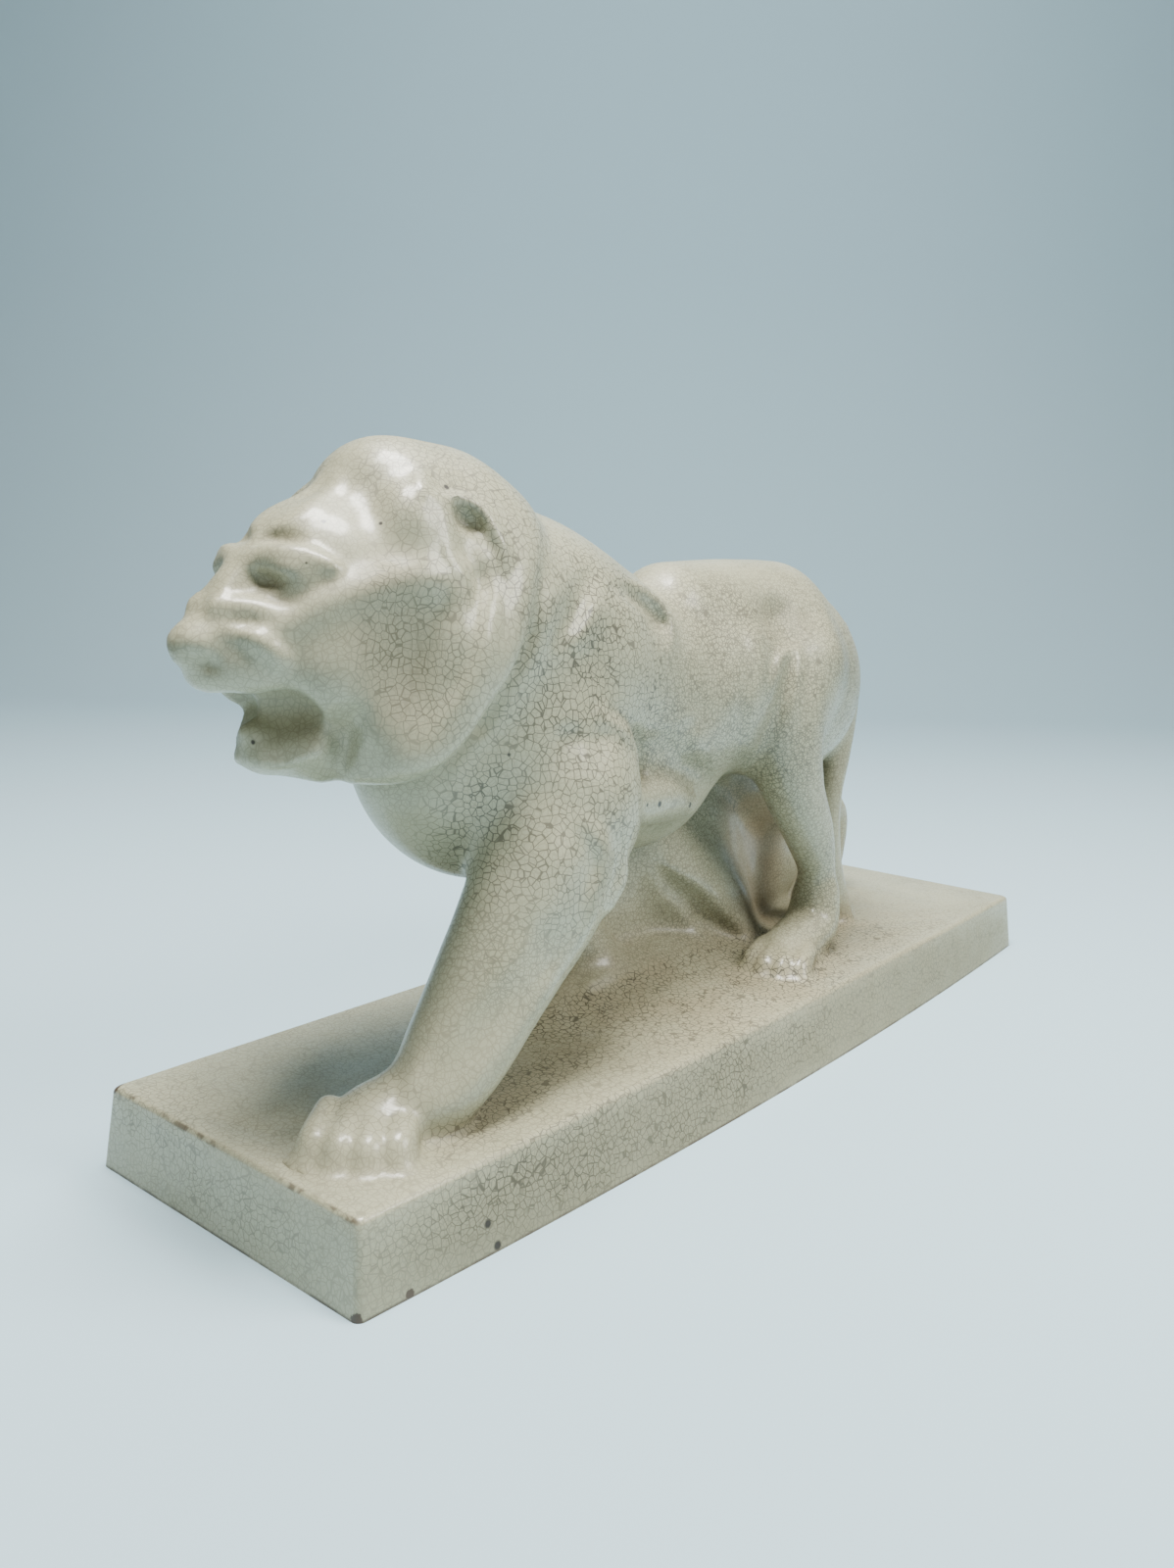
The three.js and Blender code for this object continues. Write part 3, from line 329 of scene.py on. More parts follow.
near_foreleg = [
    limb([[-110, -31, 122], [-131, -33, 94], [-152, -34, 71], [-168, -34, 54]], [31, 28.5, 23, 17], 10, 1.4),
    limb([[-152, -34, 70], [-168, -35, 52], [-182, -35, 41], [-198, -31, 34]],
        [15, 15.5, 13.5, 10], 10, 0.85),
    line([[-143, -46, 122], [-139, -49, 112], [-141, -50, 100]], [15, 16, 14], [1.5, 2.2, 1.5]),
    line([[-129, -51, 126], [-121, -52, 118], [-117, -54, 111], [-118, -54, 104], [-124, -54, 96],
        [-126, -53, 86]], [4, 5, 5.5, 5.5, 5, 4], [0.3, 1.8, 2.6, 2.6, 1.8, 0.3]),
    line([[-128, -52, 118], [-125, -54, 109], [-129, -54, 99]], [6, 7, 6], [-0.8, -1.6, -0.8]),
    line([[-111, -53, 118], [-109, -52, 109], [-114, -52, 98]], [5, 6, 5], [-1, -2.4, -1]),
    limb([[-106, -47, 108], [-103, -48, 100], [-109, -48, 91]], [3, 3.5, 2.5], 5),
    *paw([-202, -28], 50, 36, 11, 8, 36),
    line([[-108, -52, 98], [-123, -51, 84], [-137, -49, 71], [-150, -47, 59], [-163, -45, 44],
        [-173, -43, 34]], [6, 6, 6, 6, 6, 6], [0.8, 1.4, 1.6, 1.6, 1.6, 1.2]),
    line([[-134, -54, 93], [-151, -53, 79], [-166, -51, 68], [-179, -49, 56], [-182, -46, 46]],
        [8, 10, 10, 9, 8], [-0.6, -1.5, -1.8, -1.6, -0.8]),
    line([[-189, -38, 54], [-190, -37, 48], [-191, -36, 42]], [5, 5, 5], [0.8, 1.5, 1]),
]

far_foreleg = [
    limb([[-80, 24, 120], [-70, 26, 90], [-56, 22, 62], [-42, 14, 42]], [24, 18, 13, 11], 10),
    *paw([-47, 12], 46, 32, 8, 8),
]

near_hindleg = [
    limb([[60, -20, 165], [46, -25, 140], [50, -29, 112], [64, -31, 88], [74, -31, 68], [75, -31, 46]],
        [24, 20, 15.5, 12.5, 9.5, 9], 12, 1.1),
    limb([[75, -31, 54], [70, -32, 42], [56, -33, 37], [42, -33, 34]], [9, 11, 11, 9], 8, 0.85),
    *paw([42, -35], 48, 31, 10, 7, 13),
]

far_hindleg = [
    mass([74, 20, 140], [46, 18, 40], 12),
    mass([52, 28, 78], [75, 19, 39], 2.5, -36),
    mass([42, 20, 52], [60, 24, 24], 14, -38),
    line([[2, 7, 77], [12, 6, 71], [27, 5, 64], [39, 2, 53], [47, -3, 44], [52, -8, 36]],
        [4, 6, 7, 7, 7, 6], [0.5, 2, 3, 3, 3, 1.5]),
    line([[-4, 6, 74], [6, 4, 65], [15, 2, 58], [26, -2, 46], [37, -8, 35]], [5, 7, 8, 8, 7],
        [-0.5, -2.5, -3, -2.8, -1.5]),
    carved(limb([[64, -4, 116], [84, -2, 84], [106, 0, 48]], [12, 16, 14], 12)),
    limb([[80, 24, 108], [132, 22, 88], [180, 20, 74], [180, 20, 42]], [20, 15, 9, 8], 12),
    *paw([164, 20], 46, 32, 9, 8),
]

web = [
    mass([44, 29, 66], [132, 17, 60], 0),
    mass([-10, 8, -6], [130, 56, 48], 10),
    carved(limb([[-130, -28, 72], [0, -32, 72], [90, -38, 72]], [43, 43, 43], 10)),
]

tail = [
    limb([[128, -2, 178], [136, -5, 158], [133, -8, 138], [124, -11, 118], [115, -13, 98], [112, -14, 80],
        [116, -13, 58], [124, -12, 34]], [9, 8.5, 8, 7.5, 7, 7.5, 9, 12], 8),
]

lion = [
    *web, *trunk, *trunk_lines, *head, *face_lines,
    *near_foreleg, *far_foreleg, *near_hindleg, *far_hindleg, *tail,
]


def grid_lines(start, end, size):
    """Where the grid's planes lie on one axis: size gives the step from each place."""
    lines = [start]
    while lines[-1] < end:
        lines.append(lines[-1] + size(lines[-1]))
    return np.array(lines)


def blended(have, value, melt, carve):
    """The field with one more form melted into it, or taken out of it where it is carved."""
    if carve:
        value = -value
    if melt <= 0:
        return np.maximum(have, value) if carve else np.minimum(have, value)
    h = np.maximum(melt - np.abs(have - value), 0) / melt
    if carve:
        return np.maximum(have, value) + h * h * melt / 4
    return np.minimum(have, value) - h * h * melt / 4


def field_on_grid(forms, xs, ys, zs):
    """The distance to the lion's surface at the grid's corners, below zero inside."""
    values = np.full((len(xs), len(ys), len(zs)), FAR_AWAY)
    for form in forms:
        margin = form["melt"] + FORM_MARGIN
        span = []
        for lines, low, high in zip((xs, ys, zs), form["low"], form["high"]):
            span.append(slice(np.searchsorted(lines, low - margin), np.searchsorted(lines, high + margin)))
        x, y, z = xs[span[0], None, None], ys[None, span[1], None], zs[None, None, span[2]]
        block = values[tuple(span)]
        if not block.size:
            continue
        if "lift" in form:
            block -= form["lift"](x, y, z)
        else:
            block[...] = blended(block, form["dist"](x, y, z), form["melt"], form.get("carve"))
    x, y, z = xs[:, None, None], ys[None, :, None], zs[None, None, :]
    floor = np.maximum(z - GROUND + FOOT["sunk"], np.abs(x) - SLAB["length"] / 2 + FOOT["margin"])
    floor = np.maximum(floor, np.abs(y) - SLAB["width"] / 2 + FOOT["margin"])
    values = blended(values, floor, FOOT["melt"], False)
    for side in (0, -1):
        values[side, :, :] = values[:, side, :] = values[:, :, side] = OUTSIDE
    return values


def beside(ends):
    """Slices of the grid that leave out the first plane of an axis where its end is true, else the last."""
    index = [slice(None)] * 3
    for axis, ahead in ends.items():
        index[axis] = slice(1, None) if ahead else slice(None, -1)
    return tuple(index)


def at_corner(c):
    """Slices that give every cell its corner c, whose bits say how it lies on each axis."""
    return beside({n: c >> n & 1 for n in range(3)})


def untangled(values, most_rounds=20):
    """The field filled where the surface would touch itself: at faces and cells whose corners are
    inside and outside crosswise, and at cells with only two opposite corners inside or outside."""
    fillers = (1, 2, 3, 2)
    for _ in range(most_rounds):
        inside = values < 0
        taken = np.zeros(values.shape, bool)
        for p, q in ((0, 1), (1, 2), (0, 2)):
            faces = [beside({p: a, q: b}) for a, b in ((0, 0), (1, 0), (1, 1), (0, 1))]
            s00, s10, s11, s01 = (inside[face] for face in faces)
            crossed = (s00 == s11) & (s10 == s01) & (s00 != s10)
            taken[faces[0]] |= crossed & ~s00
            taken[faces[1]] |= crossed & ~s10
        corners = [(at_corner(c), inside[at_corner(c)]) for c in range(8)]
        count = sum(sign.astype(np.int8) for _, sign in corners)
        for c, filler in enumerate(fillers):
            index, sign = corners[c]
            opposite = corners[7 - c][1]
            taken[index] |= (count == 6) & ~sign & ~opposite
            index, filled = corners[filler]
            taken[index] |= (count == 2) & sign & opposite & ~filled
        if not taken.any():
            break
        values = np.where(taken & (values >= 0), JUST_INSIDE, values)
    return values


def net_points(values, grid, active):
    """For each active cell, the middle of the places where the surface crosses its edges."""
    corner = [np.array([c & 1, c >> 1 & 1, c >> 2]) for c in range(8)]
    v = np.stack([values[tuple((active + c).T)] for c in corner], axis=1)
    total = np.zeros((len(active), 3))
    hits = np.zeros(len(active))
    for c in range(8):
        for bit in (1, 2, 4):
            d = c | bit
            if d == c:
                continue
            crossed = (v[:, c] < 0) != (v[:, d] < 0)
            t = np.where(crossed, v[:, c] / np.where(crossed, v[:, c] - v[:, d], 1), 0)
            spot = corner[c] + t[:, None] * (corner[d] - corner[c])
            total += np.where(crossed[:, None], spot, 0)
            hits += crossed
    share = total / hits[:, None]
    points = []
    for n, lines in enumerate(grid):
        low = lines[active[:, n]]
        points.append(low + share[:, n] * (lines[active[:, n] + 1] - low))
    return np.stack(points, axis=1)


def net_surface(values, *grid):
    """One point in each cell that the surface crosses, joined by quads across the grid's crossed edges."""
    inside = values < 0
    count = np.zeros(tuple(n - 1 for n in values.shape), np.int8)
    for c in range(8):
        count += inside[at_corner(c)]
    active = np.argwhere((count > 0) & (count < 8))
    number = np.full(count.shape, -1, np.int64)
    number[tuple(active.T)] = np.arange(len(active))
    quads = []
    for n in range(3):
        p, q = [m for m in range(3) if m != n]
        here, there = inside[beside({n: 0})], inside[beside({n: 1})]
        found = np.argwhere(here != there)
        found = found[(found[:, p] > 0) & (found[:, q] > 0)]
        found = found[(found[:, p] < values.shape[p] - 1) & (found[:, q] < values.shape[q] - 1)]
        leaving = here[tuple(found.T)]
        ring = []
        for a, b in ((1, 1), (0, 1), (0, 0), (1, 0)):
            spot = found.copy()
            spot[:, p] -= a
            spot[:, q] -= b
            ring.append(number[tuple(spot.T)])
        ring = np.stack(ring, axis=1)
        # The other two axes turn the other way round for Y than for X and Z.
        flip = leaving if n == 1 else ~leaving
        ring[flip] = ring[flip][:, ::-1]
        quads.append(ring)
    return net_points(values, grid, active), np.concatenate(quads)


def sampled(values, grid, points):
    """The field at points, read between the grid's corners."""
    at, share = [], []
    for n, lines in enumerate(grid):
        i = np.clip(np.searchsorted(lines, points[:, n]) - 1, 0, len(lines) - 2)
        at.append(i)
        share.append((points[:, n] - lines[i]) / (lines[i + 1] - lines[i]))
    result = np.zeros(len(points))
    for c in range(8):
        bits = [c >> n & 1 for n in range(3)]
        weight = np.ones(len(points))
        for n in range(3):
            weight = weight * (share[n] if bits[n] else 1 - share[n])
        result += weight * values[at[0] + bits[0], at[1] + bits[1], at[2] + bits[2]]
    return result


def settled(points, values, grid, passes=2, step=0.8, least_slope=0.2, most=0.8):
    """The net's points, moved down the field's slope onto the surface."""
    for _ in range(passes):
        f = sampled(values, grid, points)
        slope = []
        for n in range(3):
            shift = np.zeros(3)
            shift[n] = step
            ahead = sampled(values, grid, points + shift)
            behind = sampled(values, grid, points - shift)
            slope.append((ahead - behind) / (2 * step))
        slope = np.stack(slope, axis=1)
        length = np.maximum((slope**2).sum(1), least_slope)
        points = points - np.clip(f / length, -most, most)[:, None] * slope
    return points


def size_along(x):
    if x < FACE_END:
        return CELL["face"]
    return CELL["head"] if x < HEAD_END else CELL["body"]


def size_across(y):
    return CELL["across"]


def size_up(z):
    if z < LOW_TOP:
        return CELL["low"]
    return CELL["body"] if z < BELLY else CELL["high"]


def lion_field():
    """The lion's field and its grid, whose lines are closer where the carving is finer."""
    sizes_by_axis = (size_along, size_across, size_up)
    grid = [grid_lines(*span) for span in zip(NET_FROM, NET_TO, sizes_by_axis)]
    return untangled(field_on_grid(lion, *grid)), grid


def lion_mesh(values, grid):
    points, quads = net_surface(values, *grid)
    points = settled(points, values, grid)
    mesh = bpy.data.meshes.new("lion_net")
    mesh.from_pydata((points * MM).tolist(), [], quads.tolist())
    mesh.validate()
    return mesh


def slab_ring(z, inset):
    """The slab's outline at a height: rounded corners, and the near side bowed outwards."""
    r = SLAB["corner"]
    half = [SLAB["length"] / 2 - inset, SLAB["width"] / 2 - inset]
    corners = ((-1, -1, 180), (1, -1, 270), (1, 1, 0), (-1, 1, 90))

    def on_corner(n, degrees):
        sx, sy, start = corners[n]
        a = math.radians(start + degrees)
        return sx * (half[0] - r) + r * math.cos(a), sy * (half[1] - r) + r * math.sin(a)

    ring = []
    for n in range(4):
        for i in range(SLAB_STEPS["corner"] + 1):
            ring.append(on_corner(n, 90 * i / SLAB_STEPS["corner"]))
        steps = SLAB_STEPS["side"] if n % 2 == 0 else SLAB_STEPS["side"] // 4
        (ax, ay), (bx, by) = ring[-1], on_corner((n + 1) % 4, 0)
        for i in range(1, steps):
            t = i / steps
            ring.append((ax + t * (bx - ax), ay + t * (by - ay)))
    bow = SLAB["bow"] + SLAB["bow_spread"] * (1 - z / SLAB["height"])
    bowed = []
    for x, y in ring:
        out = 0.0
        if y < 0:
            out = bow * (1 - (2 * x / SLAB["length"]) ** 2) * min(1.0, -y / (half[1] - r))
        bowed.append((x, y - out, z))
    return bowed


def slab_mesh():
    """The slab as stacked outlines: a drafted wall and a rounded top edge."""
    height, edge = SLAB["height"], SLAB["edge"]
    rings = []
    for i in range(SLAB_STEPS["wall"]):
        z = (height - edge) * i / SLAB_STEPS["wall"]
        rings.append(slab_ring(z, SLAB["draft"] * z / height))
    for i in range(SLAB_STEPS["edge"] + 1):
        a = math.radians(90 * i / SLAB_STEPS["edge"])
        z = height - edge * (1 - math.sin(a))
        rings.append(slab_ring(z, SLAB["draft"] * z / height + edge * (1 - math.cos(a))))
    bm = bmesh.new()
    loops = [[bm.verts.new((x * MM, y * MM, z * MM)) for x, y, z in ring] for ring in rings]
    n = len(loops[0])
    for low, high in zip(loops, loops[1:]):
        for i in range(n):
            j = (i + 1) % n
            bm.faces.new((low[i], low[j], high[j], high[i]))
    bm.faces.new(list(reversed(loops[0])))
    bm.faces.new(loops[-1])
    mesh = bpy.data.meshes.new("slab")
    bm.to_mesh(mesh)
    bm.free()
    return mesh


def linked(data, name):
    obj = bpy.data.objects.new(name, data)
    bpy.context.scene.collection.objects.link(obj)
    return obj


def joined(body, tool, name):
    """Both closed meshes as one."""
    union = body.modifiers.new("union", "BOOLEAN")
    union.operation = "UNION"
    union.solver = "EXACT"
    union.object = tool
    graph = bpy.context.evaluated_depsgraph_get()
    mesh = bpy.data.meshes.new_from_object(body.evaluated_get(graph))
    for obj in (body, tool):
        bpy.data.objects.remove(obj)
    mesh.name = name
    return linked(mesh, name)


def smooth_shaded(mesh):
    mesh.polygons.foreach_set("use_smooth", [True] * len(mesh.polygons))


field, grid = lion_field()
figure = joined(linked(slab_mesh(), "slab_part"), linked(lion_mesh(field, grid), "lion_part"), "ceramic_lion")
smooth_shaded(figure.data)
figure.data.set_sharp_from_angle(angle=math.radians(SHARP_DEGREES))


# Where the glaze differs. Each patch has its middle, half sizes and strength, and the crackle's patches
# the share of fine cells. Patches on the lion hold for both its sides.
PLAIN_CRACKLE = 0.4
PLAIN_FINE = 0.45
PATCH_END = 1.35
PATCH_FADE = 0.6
HOLLOW_REACHES = ((4.0, 0.4), (10.0, 0.6))
CRACKLE_ON_LION = (
    ((-105, -42, 170), (52, 34, 62), 1.0, 0.1),
    ((-140, -40, 212), (26, 26, 34), 0.9, 0.25),
    ((-122, -30, 118), (48, 40, 44), 0.95, 0.1),
    ((-188, -42, 188), (24, 26, 34), 0.75, 0.2),
    ((-172, -30, 236), (34, 30, 22), 0.75, 0.4),
    ((-205, -12, 228), (16, 16, 14), 0.35, 0.3),
    ((-20, -36, 165), (76, 40, 56), 0.95, 0.6),
    ((66, -36, 150), (76, 50, 66), 0.9, 0.7),
    ((-135, -40, 85), (44, 36, 44), 0.6, 0.5),
    ((-205, -34, 44), (18, 20, 9), 0.55, 0.0),
    ((60, -32, 80), (40, 30, 60), 0.75, 0.75),
)
CRACKLE_BELOW = (
    ((30, 12, 70), (130, 34, 60), 0.75, 0.7),
    ((-10, -30, 31), (150, 44, 9), 1.0, 0.12),
    ((-130, -45, 31), (70, 36, 9), 0.85, 0.2),
    ((90, -20, 31), (120, 60, 9), 0.4, 0.4),
    ((-110, -75, 18), (140, 18, 17), 0.9, 0.3),
    ((70, -75, 18), (150, 18, 17), 0.5, 0.4),
    ((-238, 40, 24), (14, 34, 10), 0.7, 0.3),
    ((-238, -10, 13), (14, 36, 12), 0.6, 0.3),
    ((0, 68, 16), (240, 14, 18), 0.5, 0.4),
    ((238, 0, 16), (14, 70, 18), 0.45, 0.4),
)
# Brown tint with a mottle: partly brown staining, partly painted shade in the recess between the hind legs,
# in the mouth and on the slab's top under the lion.
STAIN_AND_SHADE_PATCHES = (
    ((0, -25, 30), (170, 44, 10), 0.55),
    ((84, 12, 72), (36, 24, 58), 1.0),
    ((-214, -10, 163), (14, 16, 9), 0.45),
    ((-90, 0, 33), (90, 40, 16), 0.4),
)
# Painted shade, and a duller glaze, in the mouth, the cheek hollow, the hip hollow and the ear.
PAINTED_SHADE_AND_DULL_ON_LION = (
    ((-215, -5, 164.5), (9, 11, 4.5), 0.7),
    ((-197, -35, 185), (14, 12, 29), 0.95),
    ((36, -27, 184), (20, 13, 13), 0.75),
    ((-165, -33, 222), (5, 7, 3.5), 0.1),
)
# Painted shade, and a duller glaze, on the slab's near side.
PAINTED_SHADE_AND_DULL_BELOW = (
    ((-130, -74, 13), (170, 8, 20), 1.2),
    ((110, -74, 13), (170, 8, 20), 1.05),
)


def patch_share(points, middle, half):
    """How much of a patch each point has: all of it near the middle, fading to none."""
    gap = np.sqrt((((points - np.array(middle)) / np.array(half)) ** 2).sum(1))
    return np.clip(PATCH_END - gap, 0, PATCH_FADE) / PATCH_FADE


def read_vectors(items, name, count):
    rows = np.zeros(count * 3)
    items.foreach_get(name, rows)
    return rows.reshape(-1, 3)


def hollow_share(values, grid, points, normals):
    """How closed in each point is: how much nearer the surface is ahead of it than on open ground."""
    hollow = np.zeros(len(points))
    for reach, weight in HOLLOW_REACHES:
        room = sampled(values, grid, points + normals * reach) / reach
        hollow += weight * np.clip(1 - room, 0, 1)
    low = np.array([lines[1] for lines in grid])
    high = np.array([lines[-2] for lines in grid])
    return np.where(np.all((points > low) & (points < high), axis=1), hollow, 0)


def mark_surface(mesh, values, grid):
    """Keeps the crackle, its fine share, the brown tint of stains and painted shade, and the hollows with
    their painted shade and duller glaze on the mesh's points.
    """
    count = len(mesh.vertices)
    points = read_vectors(mesh.vertices, "co", count) / MM
    normals = read_vectors(mesh.vertices, "normal", count)
    left = np.stack([points[:, 0], -np.abs(points[:, 1]), points[:, 2]], axis=1)
    crackle, fine, stain_and_shade = np.full(count, PLAIN_CRACKLE), np.full(count, PLAIN_FINE), np.zeros(count)
    for spots, patches in ((left, CRACKLE_ON_LION), (points, CRACKLE_BELOW)):
        for middle, half, strength, share in patches:
            here = patch_share(spots, middle, half) * strength
            fine = np.where(here > crackle, share, fine)
            crackle = np.maximum(crackle, here)
    for middle, half, strength in STAIN_AND_SHADE_PATCHES:
        stain_and_shade = np.maximum(stain_and_shade, patch_share(points, middle, half) * strength)
    hollow = hollow_share(values, grid, points, normals)
    # Painted shade and a duller glaze on the listed patches, kept with the hollows.
    for spots, patches in ((left, PAINTED_SHADE_AND_DULL_ON_LION), (points, PAINTED_SHADE_AND_DULL_BELOW)):
        for middle, half, strength in patches:
            hollow = np.maximum(hollow, patch_share(spots, middle, half) * strength)
    for name, shares in (("crackle", crackle), ("fine", fine), ("stain_and_shade", stain_and_shade), ("hollow", hollow)):
        attribute = mesh.attributes.new(name, "FLOAT", "POINT")
        attribute.data.foreach_set("value", shares.astype(np.float32))


mark_surface(figure.data, field, grid)


# The glaze. Sizes and places are in millimetres, scales are in cells to the metre.
BODY_LIGHT = (0.43, 0.418, 0.287, 1)
BODY_DARK = (0.38, 0.367, 0.243, 1)
SPECKLE = (0.42, 0.39, 0.30, 1)
# A brown for stains, also used as painted shade in recesses.
STAIN_AND_SHADE_BROWN = (0.31, 0.25, 0.15, 1)
SHADE = (0.19, 0.17, 0.10, 1)
CRACK = (0.06, 0.052, 0.035, 1)
HOLE = (0.035, 0.028, 0.02, 1)
# The brown body, also used for the painted contact shadow along the slab's foot.
BARE_AND_CONTACT_SHADE = (0.085, 0.06, 0.04, 1)
SHADE_SHARE = 0.5
CRACK_SHARE = 0.95
COARSE_CELLS = dict(scale=370.0, width=0.25)
SMALL_CELLS = dict(scale=540.0, width=0.2)
CELL_RANDOM = 0.8
CRACK_CORE = 0.3
CRACK_DRIFT = 0.006
CRACK_ROUGH = 0.2
HOLLOW_ROUGH = 0.25
COAT_ROUGH = 0.15
IOR = 1.5
SWELL = dict(Strength=0.25, Distance=0.0012)
# Noises: scale, detail and roughness where it isn't the plain one
NOISE = dict(
    drift=(55.0, 2.0),
    cloud=(26.0, 3.0, 0.6),
    speckle=(260.0, 2.0, 0.7),
    stain_and_shade_mottle=(40.0, 3.0),
    gloss=(90.0, 2.0),
    swell=(70.0, 2.0),
    ragged=(420.0, 3.0, 0.6),
    patchy=(85.0, 3.0, 0.7),
)
CRACK_NOISE = (0.33, 2.0)
# Ranges: from low to high, to a share of 0 to 1 or to the last two numbers
RANGE = dict(
    crack_width=(0.25, 0.75, 0.65, 1.15),
    coarse_by_fine=(0.95, 0.3, 0.5, 0.95),
    small_by_fine=(0.0, 0.8, 0.25, 0.85),
    crackle_cloud=(0.25, 0.7, 0.7, 1.05),
    body_cloud=(0.3, 0.75),
    speckle=(0.62, 0.8, 0.0, 0.18),
    stain_and_shade_mottle=(0.3, 0.7, 0.4, 1.0),
    gloss=(0.3, 0.7, 0.34, 0.46),
    coat_by_bare_and_contact_shade=(0.0, 1.0, 0.36, 0.0),
    coat_by_hollow=(0.1, 0.5, 1.0, 0.2),
    edge_gap=(1.5 * MM, 0.7 * MM),
    edge_patchy=(0.5, 0.6, 0.0, 0.75),
    foot_height=(1.3 * MM, 0.3 * MM),
    foot_patchy=(0.35, 0.6, 0.25, 0.9),
)
# Where small holes, chips and the rubbed edge are, the first two with their radius
PINHOLES = (
    ((-207, -16, 220), 0.45), ((-218, -22, 208), 0.3), ((-169, -28, 232), 0.6), ((-147, -35, 147), 0.5),
    ((-225, -4, 155), 0.5), ((-72, -37, 120), 0.4), ((-63, -36, 119), 0.75), ((-34, -30, 114), 0.75),
    ((-193, -25, 220), 0.35), ((-190, -70, 10), 0.9), ((-187, -71, 2), 0.9),
)
PINHOLE_FADE = (2.2, 1.1)
CHIPS = (((-236.0, 65.0, 29.0), 3.0), ((-221.5, -70.0, 1.5), 2.0), ((-240.0, -67.0, 1.0), 2.2))
CHIP_FADE = (1.9, 1.6)
CHIP_RAGGED = 1.6
WORN_EDGE = (-237.2, 0.0, 28.6)


class Tree:
    """Short names for building a node tree."""

    def __init__(self, material):
        material.use_nodes = True
        self.nodes = material.node_tree.nodes
        self.links = material.node_tree.links
        self.shader = self.nodes["Principled BSDF"]

    def add(self, kind, settings=None, **inputs):
        """A node with its settings, and its inputs by name, or by number as i0, i1 and so on."""
        made = self.nodes.new(kind)
        for name, value in (settings or {}).items():
            setattr(made, name, value)
        for name, value in inputs.items():
            self.put(made.inputs[int(name[1:]) if name[1:].isdigit() else name], value)
        return made

    def put(self, socket, value):
        if isinstance(value, bpy.types.NodeSocket):
            self.links.new(value, socket)
        else:
            socket.default_value = value

    def math(self, operation, a, b):
        return self.add("ShaderNodeMath", dict(operation=operation), i0=a, i1=b).outputs[0]

    def times(self, a, b):
        return self.math("MULTIPLY", a, b)

    def most(self, a, b):
        return self.math("MAXIMUM", a, b)

    def gap(self, where, place):
        """The distance in metres from a place in millimetres."""
        place = tuple(v * MM for v in place)
        made = self.add("ShaderNodeVectorMath", dict(operation="DISTANCE"), i0=where, i1=place)
        return made.outputs["Value"]

    def mix(self, share, a, b):
        made = self.add("ShaderNodeMix", dict(data_type="RGBA"))
        for socket, value in ((made.inputs["Factor"], share), (made.inputs[6], a), (made.inputs[7], b)):
            self.put(socket, value)
        return made.outputs[2]

    def spread(self, value, low, high, to_low=0.0, to_high=1.0):
        made = self.add("ShaderNodeMapRange", dict(interpolation_type="SMOOTHSTEP"))
        for n, item in enumerate((value, low, high, to_low, to_high)):
            self.put(made.inputs[n], item)
        return made.outputs[0]

    def held(self, name):
        return self.add("ShaderNodeAttribute", dict(attribute_name=name)).outputs["Fac"]

    def noise(self, where, scale, detail, rough=0.5):
        made = self.add("ShaderNodeTexNoise", Vector=where, Scale=scale, Detail=detail, Roughness=rough)
        return made.outputs


def hole_share(t, where):
    low, high = PINHOLE_FADE
    share = 0.0
    for at, radius in PINHOLES:
        spot = t.spread(t.gap(where, at), low * radius * MM, high * radius * MM)
        share = spot if share == 0.0 else t.most(share, spot)
    return share


def worn_and_contact_shade_share(t, where):
    """Where the brown body shows: chips and the rubbed top edge of the front end; and the dark foot line,
    partly bare body and partly painted contact shadow.
    """
    ragged = t.noise(where, *NOISE["ragged"])["Fac"]
    low, high = CHIP_FADE
    share = 0.0
    for at, radius in CHIPS:
        gap = t.math("ADD", t.gap(where, at), t.times(ragged, CHIP_RAGGED * radius * MM))
        spot = t.spread(gap, low * radius * MM, high * radius * MM)
        share = spot if share == 0.0 else t.most(share, spot)
    parts = t.add("ShaderNodeSeparateXYZ", i0=where).outputs
    flat = t.add("ShaderNodeCombineXYZ", i0=parts[0], i2=parts[2]).outputs[0]
    patchy = t.noise(where, *NOISE["patchy"])["Fac"]
    rubbed = t.spread(t.gap(flat, WORN_EDGE), *RANGE["edge_gap"])
    rubbed = t.times(rubbed, t.spread(patchy, *RANGE["edge_patchy"]))
    # A dark line along the slab's foot: partly bare body, partly painted contact shadow.
    foot = t.times(t.spread(parts[2], *RANGE["foot_height"]), t.spread(patchy, *RANGE["foot_patchy"]))
    return t.most(share, t.most(rubbed, foot))


def cracks(t, where, bent, scale, width):
    """Thin lines between cells, their width uneven."""
    kind = dict(feature="DISTANCE_TO_EDGE")
    cells = t.add("ShaderNodeTexVoronoi", kind, Vector=bent, Scale=scale, Randomness=CELL_RANDOM)
    share, detail = CRACK_NOISE
    uneven = t.spread(t.noise(where, scale * share, detail)["Fac"], *RANGE["crack_width"])
    wide = t.times(uneven, width * scale * MM)
    return t.spread(cells.outputs["Distance"], wide, t.times(wide, CRACK_CORE))


def crackle_lines(t, where, cloud):
    """Coarse and small cells, by the shares kept on the mesh."""
    drift = t.noise(where, *NOISE["drift"])["Color"]
    drift = t.add("ShaderNodeVectorMath", dict(operation="SCALE"), i0=drift, Scale=CRACK_DRIFT).outputs[0]
    bent = t.add("ShaderNodeVectorMath", dict(operation="ADD"), i0=where, i1=drift).outputs[0]
    fine = t.held("fine")
    coarse = t.times(cracks(t, where, bent, **COARSE_CELLS), t.spread(fine, *RANGE["coarse_by_fine"]))
    small = t.times(cracks(t, where, bent, **SMALL_CELLS), t.spread(fine, *RANGE["small_by_fine"]))
    amount = t.times(t.held("crackle"), t.spread(cloud, *RANGE["crackle_cloud"]))
    return t.times(t.most(coarse, small), amount)


